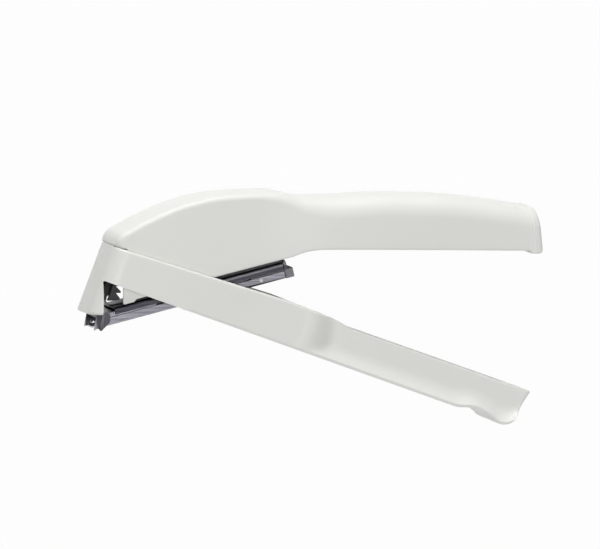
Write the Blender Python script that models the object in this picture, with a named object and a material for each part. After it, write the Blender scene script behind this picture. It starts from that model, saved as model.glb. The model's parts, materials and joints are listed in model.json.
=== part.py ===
"""Disposable skin stapler, lying on its side with the mouth between its handles open.

Metres, +Z up. X runs from the nose to the palm grip, Y from the lower handle to the upper one, and Z is the
thickness. The pieces are laid out around the lever's pivot axis, and the cartridge around its own sloping axis.
"""

import math

import bmesh
import bpy
from mathutils import Euler, Vector

MM = 0.001
DEG = math.pi / 180

# Driving sizes: reaches and heights are measured from the lever's pivot axis
NOSE_REACH = 32.6 * MM
GRIP_REACH = 118.4 * MM
HUMP_HEIGHT = 33.2 * MM
HALF_WIDTH = 11.0 * MM
RIB_WALL = 1.2 * MM
RUNNING_GAP = 0.3 * MM
SLIP_GAP = 0.15 * MM
OVERRUN = 2.0 * MM

# Trigger lever
ARM_TOP = 9.9 * MM
ARM_BOTTOM = -3.4 * MM
ARM_TOP_ANGLE = -18.57 * DEG
ARM_BOTTOM_ANGLE = -20.92 * DEG
HANDLE_TOP_ANGLE = -20.6 * DEG
LEVER_REACH = 115.1 * MM
LEVER_END_DEPTH = 13.55 * MM
LEVER_END_HEIGHT = ARM_BOTTOM + LEVER_REACH * math.tan(ARM_BOTTOM_ANGLE) + LEVER_END_DEPTH
NOSE_FLOOR = -3.6 * MM
NOSE_LEAN_REACH = 8.4 * MM
NOSE_TOP_REACH = NOSE_REACH - NOSE_LEAN_REACH
NOSE_FACE_HALF = 4.6 * MM
BOW_DEPTH = 4.8 * MM
FRONT_WALL = 1.0 * MM
ARM_WALL = 1.8 * MM
EDGE_ROUND = 0.9 * MM
NOSE_DEPTH = 4.2 * MM
WINDOW_FRONT = NOSE_REACH - NOSE_DEPTH
WINDOW_CORNER = 0.8 * MM
PAD_END = 42.7 * MM
PAD_SWEEP = 5.2 * MM
PAD_FADE = 3.2 * MM
RECESS_DEPTH = 3.0 * MM
SCOOP_DEPTH = 0.8 * MM
SCOOP_LENGTH = 12.0 * MM
LIP_THICKNESS = 1.0 * MM
FLARE_HEIGHT = 5.4 * MM
DROOP_START = 33.0 * MM
DROOP = 1.1 * MM
SHOULDER_START = 46.5 * MM
SHOULDER_LENGTH = 9.5 * MM
SCALLOP_SETBACK = 18.9 * MM
SCALLOP_CENTRE = LEVER_REACH - SCALLOP_SETBACK
SCALLOP_HALF = 8.0 * MM
SCALLOP_DEPTH = 1.7 * MM
HOOK_SETBACK = 9.6 * MM
HOOK_TIP = LEVER_REACH - HOOK_SETBACK
HOOK_DROP = 0.15 * MM
HOOK_DEPTH = -ARM_BOTTOM - HOOK_TIP * math.tan(ARM_BOTTOM_ANGLE) + HOOK_DROP
HOOK_ROUND = 5.0 * MM
END_LEAN_REACH = 6.0 * MM
HOOK_END = LEVER_REACH - END_LEAN_REACH
YOKE_END = 33.0 * MM
YOKE_FLOOR_START = 14.0 * MM
FLOOR_WALL = 1.9 * MM
TROUGH_HALF = 5.9 * MM
TROUGH_START = 37.0 * MM
TROUGH_END = HOOK_TIP + RIB_WALL / 6
TROUGH_RIBS = 5
RIB_SETBACK = 3.5 * MM

# Upper handle
WEDGE_HALF = 8.9 * MM
HANDLE_WALL = 1.8 * MM
WEDGE_ROUND = 1.8 * MM
GRIP_ROUND = 6.5 * MM
FOOT_ROUND = 0.7 * MM
FLARE_START = 22.0 * MM
FLARE_END = 50.0 * MM
WEDGE_SETBACK = 8.8 * MM
LIP_SETBACK = 3.6 * MM
ROOF_SETBACK = 0.2 * MM
ROOF_FRONT = NOSE_TOP_REACH - ROOF_SETBACK
WEDGE_FRONT = ROOF_FRONT - WEDGE_SETBACK
ROOF_LIP = ROOF_FRONT - LIP_SETBACK
ROOF_FRONT_ROUND = 2.6 * MM
WEDGE_FRONT_TOP = 8.5 * MM
WEDGE_REAR = 34.7 * MM
GRIP_LIP_LENGTH = 4.7 * MM
GRIP_LIP_START = GRIP_REACH - GRIP_LIP_LENGTH
GRIP_LIP_STEP = 0.8 * MM
GRIP_LIP_PROUD = 0.3 * MM
GRIP_LIP_DROP = 0.9 * MM
GRIP_END_ROUND = 1.2 * MM
GRIP_END_LEAN = 1.2 * MM
GRIP_RIBS = 5
GRIP_RIB_SETBACK = 4.5 * MM
EAR_RADIUS = 3.3 * MM
BOSS_RADIUS = 2.3 * MM

# Pins
PIVOT_PIN_RADIUS = 1.6 * MM
PIN_SEAT_DEPTH = 1.1 * MM
DRIVE_PIN_SETBACK = 8.2 * MM
DRIVE_PIN_X = -NOSE_REACH + DRIVE_PIN_SETBACK
DRIVE_PIN_RISE = 2.6 * MM
DRIVE_PIN_Y = ARM_BOTTOM + DRIVE_PIN_X * math.tan(ARM_BOTTOM_ANGLE) + DRIVE_PIN_RISE
DRIVE_PIN_RADIUS = 1.1 * MM
DRIVE_SEAT_SETBACK = 1.4 * MM

# Cartridge, in its own axes: along it, across it upward, and the shared width
CARTRIDGE_ANGLE = 12.5 * DEG
TIP_SETBACK = 2.1 * MM
TIP_X = -NOSE_REACH + TIP_SETBACK
TIP_Y = -8.6 * MM
CARTRIDGE_LENGTH = 68.2 * MM
CHANNEL_HALF = 6.75 * MM
SHEET = 0.5 * MM
CHANNEL_START = 3.8 * MM
CAP_LENGTH = 3.0 * MM
CHANNEL_END = CARTRIDGE_LENGTH - CAP_LENGTH
CHANNEL_HEIGHT = 2.4 * MM
COVER_START = 8.0 * MM
COVER_FOOT = 3.0 * MM
COVER_TOP = 5.2 * MM
RAIL_START = 25.5 * MM
RAIL_HALF = 6.2 * MM
RAIL_THICKNESS = 0.8 * MM
TRACK_HALF = 5.2 * MM
TRACK_FOOT = 1.1 * MM
TRACK_TOP = 3.25 * MM
TRACK_SLOT_HALF = 1.1 * MM
TRACK_SLOT_START = 4.4 * MM
ANVIL_HALF = 2.9 * MM
ANVIL_START = 0.4 * MM
ANVIL_END = 14.0 * MM
EJECTOR_HALF = 1.6 * MM
EJECTOR_THICKNESS = 0.2 * MM
CAP_STEP = 1.8 * MM
PLUG_LENGTH = 11.0 * MM
PLUG_START = CHANNEL_END - PLUG_LENGTH
PLUG_HALF = 5.8 * MM
TRACK_END = PLUG_START - 2 * RUNNING_GAP
END_PIN_SETBACK = 2.9 * MM
END_PIN_U = PLUG_START + END_PIN_SETBACK
END_PIN_V = 1.5 * MM
END_PIN_RADIUS = 0.6 * MM
END_PIN_PROUD = 0.2 * MM

# Staples and their feed
STAPLE_HALF = 6.0 * MM
STAPLE_WIRE = 0.5 * MM
STAPLE_LEG_FOOT = 0.8 * MM
STAPLE_PITCH = 0.6 * MM
STAPLE_COUNT = 30
PUSHER_LENGTH = 5.2 * MM
PUSHER_TOP = 4.3 * MM
PUSHER_TAB_HALF = 0.8 * MM
PUSHER_TAB_LENGTH = 2.0 * MM
FEED_AXIS_V = 1.8 * MM
FEED_COIL_RADIUS = 0.78 * MM
FEED_WIRE = 0.26 * MM
FEED_PITCH = 2.0 * MM
ROD_RADIUS = 0.4 * MM
ROD_START = 4.0 * MM
ROD_SEAT = 2.0 * MM

# Front guide, former and its carrier
GUIDE_HALF = 7.45 * MM
GUIDE_SHEET = 0.4 * MM
GUIDE_LEAN = 1.1 * MM
GUIDE_FOOT = 0.4 * MM
GUIDE_ROUND = 2.2 * MM
GUIDE_LENGTH = 5.0 * MM
GUIDE_HEIGHT = 4.8 * MM
GUIDE_BAR = 1.1 * MM
GUIDE_OPENING_HALF = 5.4 * MM
FORMER_SETBACK = 4.1 * MM
FORMER_X = -NOSE_REACH + FORMER_SETBACK
FORMER_THICKNESS = 0.6 * MM
FORMER_HALF = 6.2 * MM
FORMER_FOOT = -3.5 * MM
FORMER_TOP = 3.2 * MM
FORMER_NOTCH_HALF = 3.1 * MM
FORMER_NOTCH_TOP = 1.0 * MM
CARRIER_FRONT = FORMER_X + FORMER_THICKNESS + RUNNING_GAP
CARRIER_LENGTH = 6.0 * MM
CARRIER_BACK = CARRIER_FRONT + CARRIER_LENGTH
CARRIER_FOOT = 2.4 * MM
CARRIER_CREST = 3.0 * MM
CARRIER_TOP = DRIVE_PIN_Y + CARRIER_CREST
CARRIER_LEAN = 20.0 * DEG
CHEEK_INNER = 7.65 * MM
CHEEK_FOOT = 0.8 * MM
CHEEK_SETBACK = 0.9 * MM
CHEEK_FRONT = CARRIER_FRONT + CHEEK_SETBACK
CHEEK_DEPTH = 2.7 * MM
CHEEK_ROOT = CHEEK_FRONT + CHEEK_DEPTH
CORE_HALF = 6.2 * MM
CORE_STEP = 2.0 * MM
CHEEK_TOP = 7.4 * MM
TOOTH_COUNT = 3
TOOTH_REACH = 1.9 * MM
RIVET_RADIUS = 0.55 * MM
RIVET_HEAD_RADIUS = 0.9 * MM
RIVET_HEAD = 0.3 * MM
RIVET_Z = 4.7 * MM
RIVET_Y = 1.75 * MM
RIVET_DEPTH = 0.8 * MM
RIVET_FOOT = 0.8 * MM
RIVET_FOOT_INNER = 3.3 * MM

# Return leaf, its clip and the rail screws
LEAF_HALF = 2.4 * MM
LEAF_THICKNESS = 0.3 * MM
LEAF_START = 9.0 * MM
LEAF_END = 22.0 * MM
LEAF_HOOK_SETBACK = 2.0 * MM
LEAF_HOOK_X = CARRIER_FRONT + LEAF_HOOK_SETBACK
CLIP_START = 15.0 * MM
CLIP_END = 23.8 * MM
CLIP_HALF = 6.6 * MM
SCREW_RADIUS = 1.0 * MM
SCREW_HEAD_RADIUS = 1.9 * MM
SCREW_HEAD = 0.6 * MM
SCREW_LENGTH = 9.0 * MM
SCREW_FRONT_SETBACK = 4.5 * MM
SCREW_FRONT_U = RAIL_START + SCREW_FRONT_SETBACK
SCREW_REAR_SETBACK = 4.0 * MM
SCREW_REAR_U = PLUG_START - SCREW_REAR_SETBACK

# Roof line of the upper handle: shares of GRIP_REACH forward or back of the pivot, and of HUMP_HEIGHT
ROOF_SHARES = (
    (-0.206, 0.630), (-0.184, 0.664), (-0.160, 0.702), (-0.131, 0.756), (-0.084, 0.828), (-0.028, 0.904),
    (0.010, 0.940), (0.057, 0.976), (0.105, 0.994), (0.160, 1.000), (0.228, 1.000), (0.258, 0.997), (0.292, 0.973),
    (0.319, 0.947), (0.376, 0.937), (0.433, 0.934), (0.490, 0.941), (0.575, 0.940), (0.631, 0.928),
    (0.716, 0.913), (0.800, 0.875), (0.913, 0.811), (0.970, 0.776), (1.000, 0.755),
)
# Underside of the palm grip behind the wedge, in the same shares
UNDERSIDE_SHARES = (
    (0.293, 0.380), (0.309, 0.401), (0.329, 0.423), (0.351, 0.437), (0.380, 0.443), (0.649, 0.408),
    (1.000, 0.355),
)
HANDLE_STATION_SHARES = (
    -0.125, -0.105, -0.080, -0.050, -0.025, 0.0, 0.030, 0.060, 0.090, 0.120, 0.160, 0.200, 0.230, 0.250,
    0.265, 0.280, 0.293, 0.302, 0.312, 0.324, 0.338, 0.355, 0.375, 0.400, 0.430, 0.470, 0.510, 0.560, 0.610,
    0.660, 0.720, 0.780, 0.840, 0.900, 0.940,
)
LEVER_STATION_SHARES = (
    -0.12, 0.02, 0.15, 0.26, 0.290, 0.315, 0.332, 0.345, 0.357, 0.368, 0.380, 0.393, 0.405, 0.418, 0.430,
    0.443, 0.456, 0.470, 0.484, 0.510, 0.560, 0.620, 0.680, 0.725, 0.762, 0.785, 0.806, 0.826, 0.845, 0.862,
    0.878, 0.890, 0.902, 0.913, 0.924, 0.934,
)
BOW_SHARES = (0.0, 0.06, 0.2, 0.45, 1.0)
COMPASS_STEPS = 6
ROUND_SIDES = 24
SMALL_ROUND_SIDES = 12
SHARP_ANGLE = 30 * DEG
COIL_SIDES = 8

PIVOT_X = (NOSE_REACH - GRIP_REACH) / 2
PIVOT_Y = (HOOK_DEPTH - HUMP_HEIGHT) / 2


def start_scene():
    for thing in list(bpy.data.objects):
        bpy.data.objects.remove(thing, do_unlink=True)
    groups = {}
    for name in ("skin_stapler", "cutters"):
        group = bpy.data.collections.get(name) or bpy.data.collections.new(name)
        if group.name not in bpy.context.scene.collection.children:
            bpy.context.scene.collection.children.link(group)
        groups[name] = group
    return groups


GROUPS = start_scene()


def make_material(name, colour, roughness, metallic=0.0):
    material = bpy.data.materials.new(name)
    material.use_nodes = True
    shader = material.node_tree.nodes["Principled BSDF"]
    shader.inputs["Base Color"].default_value = (*colour, 1.0)
    shader.inputs["Roughness"].default_value = roughness
    shader.inputs["Metallic"].default_value = metallic
    return material


WHITE_PLASTIC = make_material("white_plastic", (0.78, 0.78, 0.75), 0.42)
BLACK_PLASTIC = make_material("black_plastic", (0.02, 0.02, 0.025), 0.5)
STEEL = make_material("steel", (0.42, 0.41, 0.44), 0.3, 1.0)
DARK_STEEL = make_material("dark_steel", (0.16, 0.15, 0.18), 0.35, 1.0)


def make_empty(name, place, turn=0.0, parent=None):
    empty = bpy.data.objects.new(name, None)
    empty.location = place
    empty.rotation_euler = Euler((0, 0, turn))
    empty.parent = parent
    GROUPS["skin_stapler"].objects.link(empty)
    return empty


PIVOT = make_empty("pivot_axis", (PIVOT_X, PIVOT_Y, HALF_WIDTH))
CARTRIDGE = make_empty("cartridge_axis", (TIP_X, TIP_Y, 0), CARTRIDGE_ANGLE, PIVOT)


def add_object(name, mesh, frame, material=None, place=(0, 0, 0), turn=(0, 0, 0)):
    """Places a mesh in a frame; without a material it is a cutter or a part of a later union."""
    thing = bpy.data.objects.new(name, mesh)
    thing.parent = frame
    thing.location = place
    thing.rotation_euler = Euler(turn)
    if material:
        mesh.materials.append(material)
        GROUPS["skin_stapler"].objects.link(thing)
    else:
        thing.hide_render = True
        thing.display_type = "WIRE"
        GROUPS["cutters"].objects.link(thing)
    return thing


def finish_mesh(shape, name):
    bmesh.ops.recalc_face_normals(shape, faces=shape.faces)
    mesh = bpy.data.meshes.new(name)
    shape.to_mesh(mesh)
    shape.free()
    return mesh


def prism(name, outline, low, high, frame, material=None, along="Z"):
    """A flat outline drawn as a 2D curve and extruded along one axis of its frame, from low to high."""
    curve = bpy.data.curves.new(name, "CURVE")
    curve.dimensions = "2D"
    curve.fill_mode = "BOTH"
    curve.extrude = (high - low) / 2
    spline = curve.splines.new("POLY")
    spline.points.add(len(outline) - 1)
    for point, (across, up) in zip(spline.points, outline):
        point.co = (across, up, 0, 1)
    spline.use_cyclic_u = True
    drawing = bpy.data.objects.new(name, curve)
    GROUPS["cutters"].objects.link(drawing)
    bpy.context.view_layer.update()
    mesh = bpy.data.meshes.new_from_object(drawing.evaluated_get(bpy.context.evaluated_depsgraph_get()))
    bpy.data.objects.remove(drawing)
    bpy.data.curves.remove(curve)
    shape = bmesh.new()
    shape.from_mesh(mesh)
    bpy.data.meshes.remove(mesh)
    bmesh.ops.remove_doubles(shape, verts=shape.verts, dist=SLIP_GAP / 100)
    middle = (low + high) / 2
    place, turn = {
        "Z": ((0, 0, middle), (0, 0, 0)),
        "X": ((middle, 0, 0), (0, math.pi / 2, 0)),
        "Y": ((0, middle, 0), (-math.pi / 2, 0, 0)),
    }[along]
    return add_object(name, finish_mesh(shape, name), frame, material, place, turn)


def box(name, low, high, frame, material=None):
    shape = bmesh.new()
    bmesh.ops.create_cube(shape, size=1)
    size = [b - a for a, b in zip(low, high)]
    bmesh.ops.scale(shape, vec=size, verts=shape.verts)
    bmesh.ops.translate(shape, vec=[(a + b) / 2 for a, b in zip(low, high)], verts=shape.verts)
    return add_object(name, finish_mesh(shape, name), frame, material)


def pin(name, radius, low, high, place, frame, material=None, along="Z", sides=ROUND_SIDES):
    """A round bar along one axis of its frame, from low to high, through the place given across that axis."""
    shape = bmesh.new()
    bmesh.ops.create_cone(
        shape, cap_ends=True, segments=sides, radius1=radius, radius2=radius, depth=high - low
    )
    middle = (low + high) / 2
    a, b = place
    where, turn = {
        "Z": ((a, b, middle), (0, 0, 0)),
        "X": ((middle, a, b), (0, math.pi / 2, 0)),
        "Y": ((a, middle, b), (-math.pi / 2, 0, 0)),
    }[along]
    thing = add_object(name, finish_mesh(shape, name), frame, material, where, turn)
    thing.data.shade_smooth()
    thing.data.set_sharp_from_angle(angle=SHARP_ANGLE)
    return thing


def thin_pin(name, radius, low, high, place, frame, material=None, along="Z"):
    return pin(name, radius, low, high, place, frame, material, along, SMALL_ROUND_SIDES)


def loft(name, rings, frame, material=None):
    """A closed solid through rings of equally many points, its two ends capped."""
    shape = bmesh.new()
    rows = [[shape.verts.new(point) for point in ring] for ring in rings]
    count = len(rows[0])
    for row, after in zip(rows, rows[1:]):
        for i in range(count):
            j = (i + 1) % count
            shape.faces.new((row[i], row[j], after[j], after[i]))
    shape.faces.new(rows[0])
    shape.faces.new(reversed(rows[-1]))
    return add_object(name, finish_mesh(shape, name), frame, material)


def round_corners(thing, reach, height, radius, segments=4):
    """Rounds the upright edges of a prism that lie in front of a reach along X and are over a height long."""
    shape = bmesh.new()
    shape.from_mesh(thing.data)
    edges = []
    for edge in shape.edges:
        a, b = (vert.co for vert in edge.verts)
        if max(a.x, b.x) < reach and abs(a.y - b.y) > height and abs(a.z - b.z) < SLIP_GAP:
            edges.append(edge)
    bmesh.ops.bevel(
        shape, geom=edges, offset=radius, offset_type="OFFSET", segments=segments, profile=0.5, affect="EDGES"
    )
    shape.to_mesh(thing.data)
    shape.free()


def combine(target, other, operation):
    step = target.modifiers.new(other.name, "BOOLEAN")
    step.operation = operation
    step.solver = "EXACT"
    step.object = other


def cut(target, *cutters):
    for cutter in cutters:
        combine(target, cutter, "DIFFERENCE")


def fuse(target, *others):
    for other in others:
        combine(target, other, "UNION")


def smooth_share(value):
    """Rises smoothly from 0 to 1 as the value does."""
    value = min(max(value, 0.0), 1.0)
    return value * value * (3 - 2 * value)


def hump_share(value):
    """A smooth hump: 1 at 0, falling to 0 at -1 and at 1."""
    return smooth_share(1 - abs(value))


def height_on(points, x):
    """The height at x of a smooth curve through points sorted by x."""
    if x <= points[0][0]:
        return points[0][1]
    for k in range(len(points) - 1):
        (x0, y0), (x1, y1) = points[k], points[k + 1]
        if x <= x1:
            before = points[k - 1] if k else points[k]
            after = points[k + 2] if k + 2 < len(points) else points[k + 1]
            slope0 = (y1 - before[1]) / (x1 - before[0])
            slope1 = (after[1] - y0) / (after[0] - x0)
            t = (x - x0) / (x1 - x0)
            span = x1 - x0
            return (
                (2 * t**3 - 3 * t**2 + 1) * y0
                + (t**3 - 2 * t**2 + t) * span * slope0
                + (3 * t**2 - 2 * t**3) * y1
                + (t**3 - t**2) * span * slope1
            )
    return points[-1][1]


def rounding(distance, radius):
    """How far a rounded edge of this radius has drawn in at a distance from the edge."""
    if distance >= radius:
        return 0.0
    return radius - math.sqrt(radius**2 - (radius - distance) ** 2)


def cartridge_line(x, v):
    """Height over the pivot of the line that runs along the cartridge at v above its bottom face."""
    return TIP_Y + (x - TIP_X) * math.tan(CARTRIDGE_ANGLE) + v / math.cos(CARTRIDGE_ANGLE)


RAIL_FOOT = COVER_TOP + RUNNING_GAP
RAIL_TOP = RAIL_FOOT + RAIL_THICKNESS
WEDGE_SEAT = RAIL_TOP + RUNNING_GAP


# The upper handle: wedge and palm grip in one shell

ROOF_LINE = [(x * GRIP_REACH, y * HUMP_HEIGHT) for x, y in ROOF_SHARES]
UNDERSIDE_LINE = [(x * GRIP_REACH, y * HUMP_HEIGHT) for x, y in UNDERSIDE_SHARES]


def handle_underside(x):
    if x < -ROOF_LIP:
        return lever_top(x) + RUNNING_GAP
    if x < -WEDGE_FRONT:
        rise = (-WEDGE_FRONT - x) / (ROOF_LIP - WEDGE_FRONT)
        return WEDGE_FRONT_TOP + rise * (lever_top(-ROOF_LIP) + RUNNING_GAP - WEDGE_FRONT_TOP)
    if x < WEDGE_REAR:
        return cartridge_line(x, WEDGE_SEAT)
    return height_on(UNDERSIDE_LINE, x)


def handle_half(x):
    flare = smooth_share((x - FLARE_START) / (FLARE_END - FLARE_START))
    half = WEDGE_HALF + (HALF_WIDTH - GRIP_LIP_PROUD - WEDGE_HALF) * flare
    return half - rounding(max(x + ROOF_FRONT, 0), ROOF_FRONT_ROUND)


def handle_corner(x):
    return WEDGE_ROUND + (GRIP_ROUND - WEDGE_ROUND) * smooth_share((x - FLARE_START) / (FLARE_END - FLARE_START))


def handle_ring(x, inset=0.0, open_below=0.0, proud=0.0, lift=0.0, lean=0.0):
    """One cross-section of the upper handle: a side, a round shoulder and the crown, then the same back."""
    half = handle_half(x) - inset + proud
    top = height_on(ROOF_LINE, x) - inset + proud
    bottom = handle_underside(x) - open_below + lift
    corner = min(max(handle_corner(x) - inset, FOOT_ROUND), (top - bottom) / 2)
    foot = min(FOOT_ROUND, (top - bottom) / 4) if inset == 0 else 0
    side = [(bottom, half - foot)]
    if foot:
        side.append((bottom + foot / 4, half - foot / 4))
    side.append((bottom + foot, half))
    for k in range(COMPASS_STEPS + 1):
        turn = k / COMPASS_STEPS * math.pi / 2
        side.append((top - corner + corner * math.sin(turn), half - corner + corner * math.cos(turn)))
    near = [(x - lean * (y - bottom) / (top - bottom), y, z) for y, z in side]
    return near + [(x, y, -z) for x, y, z in reversed(near)]


def handle_stations():
    front = [-ROOF_FRONT + share * ROOF_FRONT_ROUND for share in BOW_SHARES]
    front += [-ROOF_LIP, -WEDGE_FRONT]
    return front + [x for x in (share * GRIP_REACH for share in HANDLE_STATION_SHARES) if x > -WEDGE_FRONT]


def make_upper_handle():
    rings = [handle_ring(x) for x in handle_stations()]
    lip = GRIP_LIP_START
    lean = GRIP_END_LEAN
    rings.append(handle_ring(lip, lean=lean))
    rings.append(handle_ring(lip + GRIP_LIP_STEP, proud=GRIP_LIP_PROUD, lift=-GRIP_LIP_DROP, lean=lean))
    end = GRIP_REACH - GRIP_END_ROUND
    rings.append(handle_ring(end, proud=GRIP_LIP_PROUD, lift=-GRIP_LIP_DROP, lean=lean))
    rings.append(handle_ring(end + GRIP_END_ROUND / 2, proud=GRIP_LIP_PROUD - GRIP_END_ROUND / 6,
                             lift=GRIP_END_ROUND / 6 - GRIP_LIP_DROP, lean=lean))
    rings.append(handle_ring(end + 7 * GRIP_END_ROUND / 8, proud=GRIP_LIP_PROUD - GRIP_END_ROUND / 2,
                             lift=GRIP_END_ROUND / 2 - GRIP_LIP_DROP, lean=lean))
    rings.append(handle_ring(GRIP_REACH, proud=GRIP_LIP_PROUD - GRIP_END_ROUND,
                             lift=GRIP_END_ROUND - GRIP_LIP_DROP, lean=lean))
    handle = loft("upper_handle", rings, PIVOT, WHITE_PLASTIC)

    # The hollow: one shallow cut all along, and deep bays that leave cross ribs between them
    end = GRIP_REACH - GRIP_END_ROUND - GRIP_END_LEAN - HANDLE_WALL
    inner = [x for x in handle_stations() if x > -WEDGE_FRONT]
    wedge_bay = [-ROOF_LIP, -WEDGE_FRONT] + [x for x in inner if -WEDGE_FRONT < x < FLARE_START]
    wedge_bay.append(FLARE_START + HANDLE_WALL)
    bays = [wedge_bay]
    rib_start = FLARE_START + HANDLE_WALL + RIB_WALL
    step = (end - rib_start + RIB_WALL) / GRIP_RIBS
    for k in range(GRIP_RIBS):
        a = rib_start + k * step
        b = a + step - RIB_WALL
        bays.append([a] + [x for x in inner if a < x < b] + [b])
    for k, bay in enumerate(bays):
        rings = [handle_ring(x, inset=HANDLE_WALL, open_below=OVERRUN) for x in bay]
        cut(handle, loft(f"handle_bay_{k}", rings, PIVOT))
    shallow = [FLARE_START] + [x for x in inner if FLARE_START < x < end] + [end]
    rings = []
    for x in shallow:
        half = handle_half(x) - HANDLE_WALL - SLIP_GAP
        low = handle_underside(x) - OVERRUN
        high = handle_underside(x) + GRIP_RIB_SETBACK
        rings.append([(x, low, half), (x, high, half), (x, high, -half), (x, low, -half)])
    cut(handle, loft("handle_shallow", rings, PIVOT))

    # Ears that carry the pivot pins beside the cartridge, and posts for the rail screws
    inner_face = WEDGE_HALF - HANDLE_WALL
    for side, name in ((1, "near"), (-1, "far")):
        outline = [(EAR_RADIUS, cartridge_line(EAR_RADIUS, WEDGE_SEAT) + HANDLE_WALL)]
        outline.append((-EAR_RADIUS, cartridge_line(-EAR_RADIUS, WEDGE_SEAT) + HANDLE_WALL))
        for k in range(2 * COMPASS_STEPS + 1):
            turn = math.pi + k / (2 * COMPASS_STEPS) * math.pi
            outline.append((EAR_RADIUS * math.cos(turn), EAR_RADIUS * math.sin(turn)))
        a, b = sorted((side * (inner_face + SLIP_GAP / 3), side * (WEDGE_HALF - SLIP_GAP / 3)))
        fuse(handle, prism(f"ear_{name}", outline, a, b, PIVOT))
    for name, u in (("front", SCREW_FRONT_U), ("rear", SCREW_REAR_U)):
        x, foot = TIP_X + u * math.cos(CARTRIDGE_ANGLE), TIP_Y + u * math.sin(CARTRIDGE_ANGLE)
        lean = (height_on(ROOF_LINE, x) - foot) * math.tan(CARTRIDGE_ANGLE)
        top = (height_on(ROOF_LINE, x - lean) - HANDLE_WALL / 2 - foot) / math.cos(CARTRIDGE_ANGLE)
        fuse(handle, pin(f"boss_{name}", BOSS_RADIUS, WEDGE_SEAT, top, (u, 0), CARTRIDGE, along="Y"))
        low, high = WEDGE_SEAT - OVERRUN, WEDGE_SEAT + SCREW_LENGTH
        cut(handle, pin(f"boss_hole_{name}", SCREW_RADIUS + RUNNING_GAP, low, high, (u, 0), CARTRIDGE, along="Y"))
    span = WEDGE_HALF + OVERRUN
    cut(handle, pin("ear_hole", PIVOT_PIN_RADIUS + SLIP_GAP, -span, span, (0, 0), PIVOT))
    return handle


# The trigger lever: nose column, two side arms and the lower handle in one moulding


def lever_top(x):
    arm = ARM_TOP + x * math.tan(ARM_TOP_ANGLE)
    grip = LEVER_END_HEIGHT + (x - LEVER_REACH) * math.tan(HANDLE_TOP_ANGLE)
    arm -= DROOP * max(0, min(1, (x - DROOP_START) / (SHOULDER_START - DROOP_START)))
    return arm + (grip - arm) * smooth_share((x - SHOULDER_START) / SHOULDER_LENGTH)


def arm_bottom(x):
    return ARM_BOTTOM + x * math.tan(ARM_BOTTOM_ANGLE)


def lever_bottom(x):
    line = min(arm_bottom(x), NOSE_FLOOR)
    line += SCALLOP_DEPTH * hump_share((x - SCALLOP_CENTRE) / SCALLOP_HALF)
    if abs(x - HOOK_TIP) < HOOK_ROUND:
        hook = -HOOK_DEPTH + HOOK_ROUND - math.sqrt(HOOK_ROUND**2 - (x - HOOK_TIP) ** 2)
        line = min(line, hook) if x < HOOK_TIP else hook
    return line


def pad_edge(y_share):
    """Where the proud pad on the arm ends, swept forward towards the arm's lower edge."""
    return PAD_END - PAD_SWEEP * (1 - y_share) ** 2


def lever_half(x, below, above, full):
    """Half the lever's thickness at a point this far over its lower edge and under its upper edge."""
    y_share = below / (below + above) if below + above > 0 else 0
    inward = smooth_share((x - pad_edge(y_share)) / PAD_FADE)
    flare = smooth_share((below - LIP_THICKNESS) / FLARE_HEIGHT)
    scoop = hump_share((x - pad_edge(y_share) - SCOOP_LENGTH / 2) / (SCOOP_LENGTH / 2)) * SCOOP_DEPTH
    half = full - inward * flare * (RECESS_DEPTH + scoop)
    return half - rounding(below, EDGE_ROUND) - rounding(above, EDGE_ROUND)


def lever_ring(x_low, x_high, full=HALF_WIDTH):
    """A section of the lever from its lower edge at x_low to its upper edge at x_high, and round the far side."""
    low = Vector((x_low, lever_bottom(x_low)))
    high = Vector((x_high, lever_top(x_high)))
    height = (high - low).length
    edge = EDGE_ROUND
    steps = [0, edge / 6, edge / 2, edge, LIP_THICKNESS + FLARE_HEIGHT / 4, LIP_THICKNESS + FLARE_HEIGHT / 2]
    steps += [LIP_THICKNESS + 3 * FLARE_HEIGHT / 4, LIP_THICKNESS + FLARE_HEIGHT]
    steps += [(steps[-1] + height - edge) / 2, height - edge, height - edge / 2, height - edge / 6, height]
    side = []
    for below in steps:
        x, y = low + (high - low) * (below / height)
        side.append((x, y, lever_half(x, below, height - below, full)))
    return side + [(x, y, -z) for x, y, z in reversed(side)]


def bow_half(depth_share, full):
    """Half the nose's width behind its front face: an ellipse that opens from the face to the sides."""
    return NOSE_FACE_HALF + (full - NOSE_FACE_HALF) * math.sqrt(1 - (1 - depth_share) ** 2)


def make_lever_body():
    rings = []
    for share in BOW_SHARES:
        back = share * BOW_DEPTH
        rings.append(lever_ring(-NOSE_REACH + back, -NOSE_TOP_REACH + back, bow_half(share, HALF_WIDTH)))
    for share in LEVER_STATION_SHARES:
        x = share * LEVER_REACH
        lean = max(0, (x - SCALLOP_CENTRE) / (HOOK_END - SCALLOP_CENTRE)) * END_LEAN_REACH
        rings.append(lever_ring(x, x + lean))
    for back in (EDGE_ROUND, EDGE_ROUND / 4, 0):
        x = HOOK_END - back
        lean = (x - SCALLOP_CENTRE) / (HOOK_END - SCALLOP_CENTRE) * END_LEAN_REACH
        rings.append(lever_ring(x, x + lean, HALF_WIDTH - rounding(back, EDGE_ROUND)))
    return loft("trigger_lever", rings, PIVOT, WHITE_PLASTIC)


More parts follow.
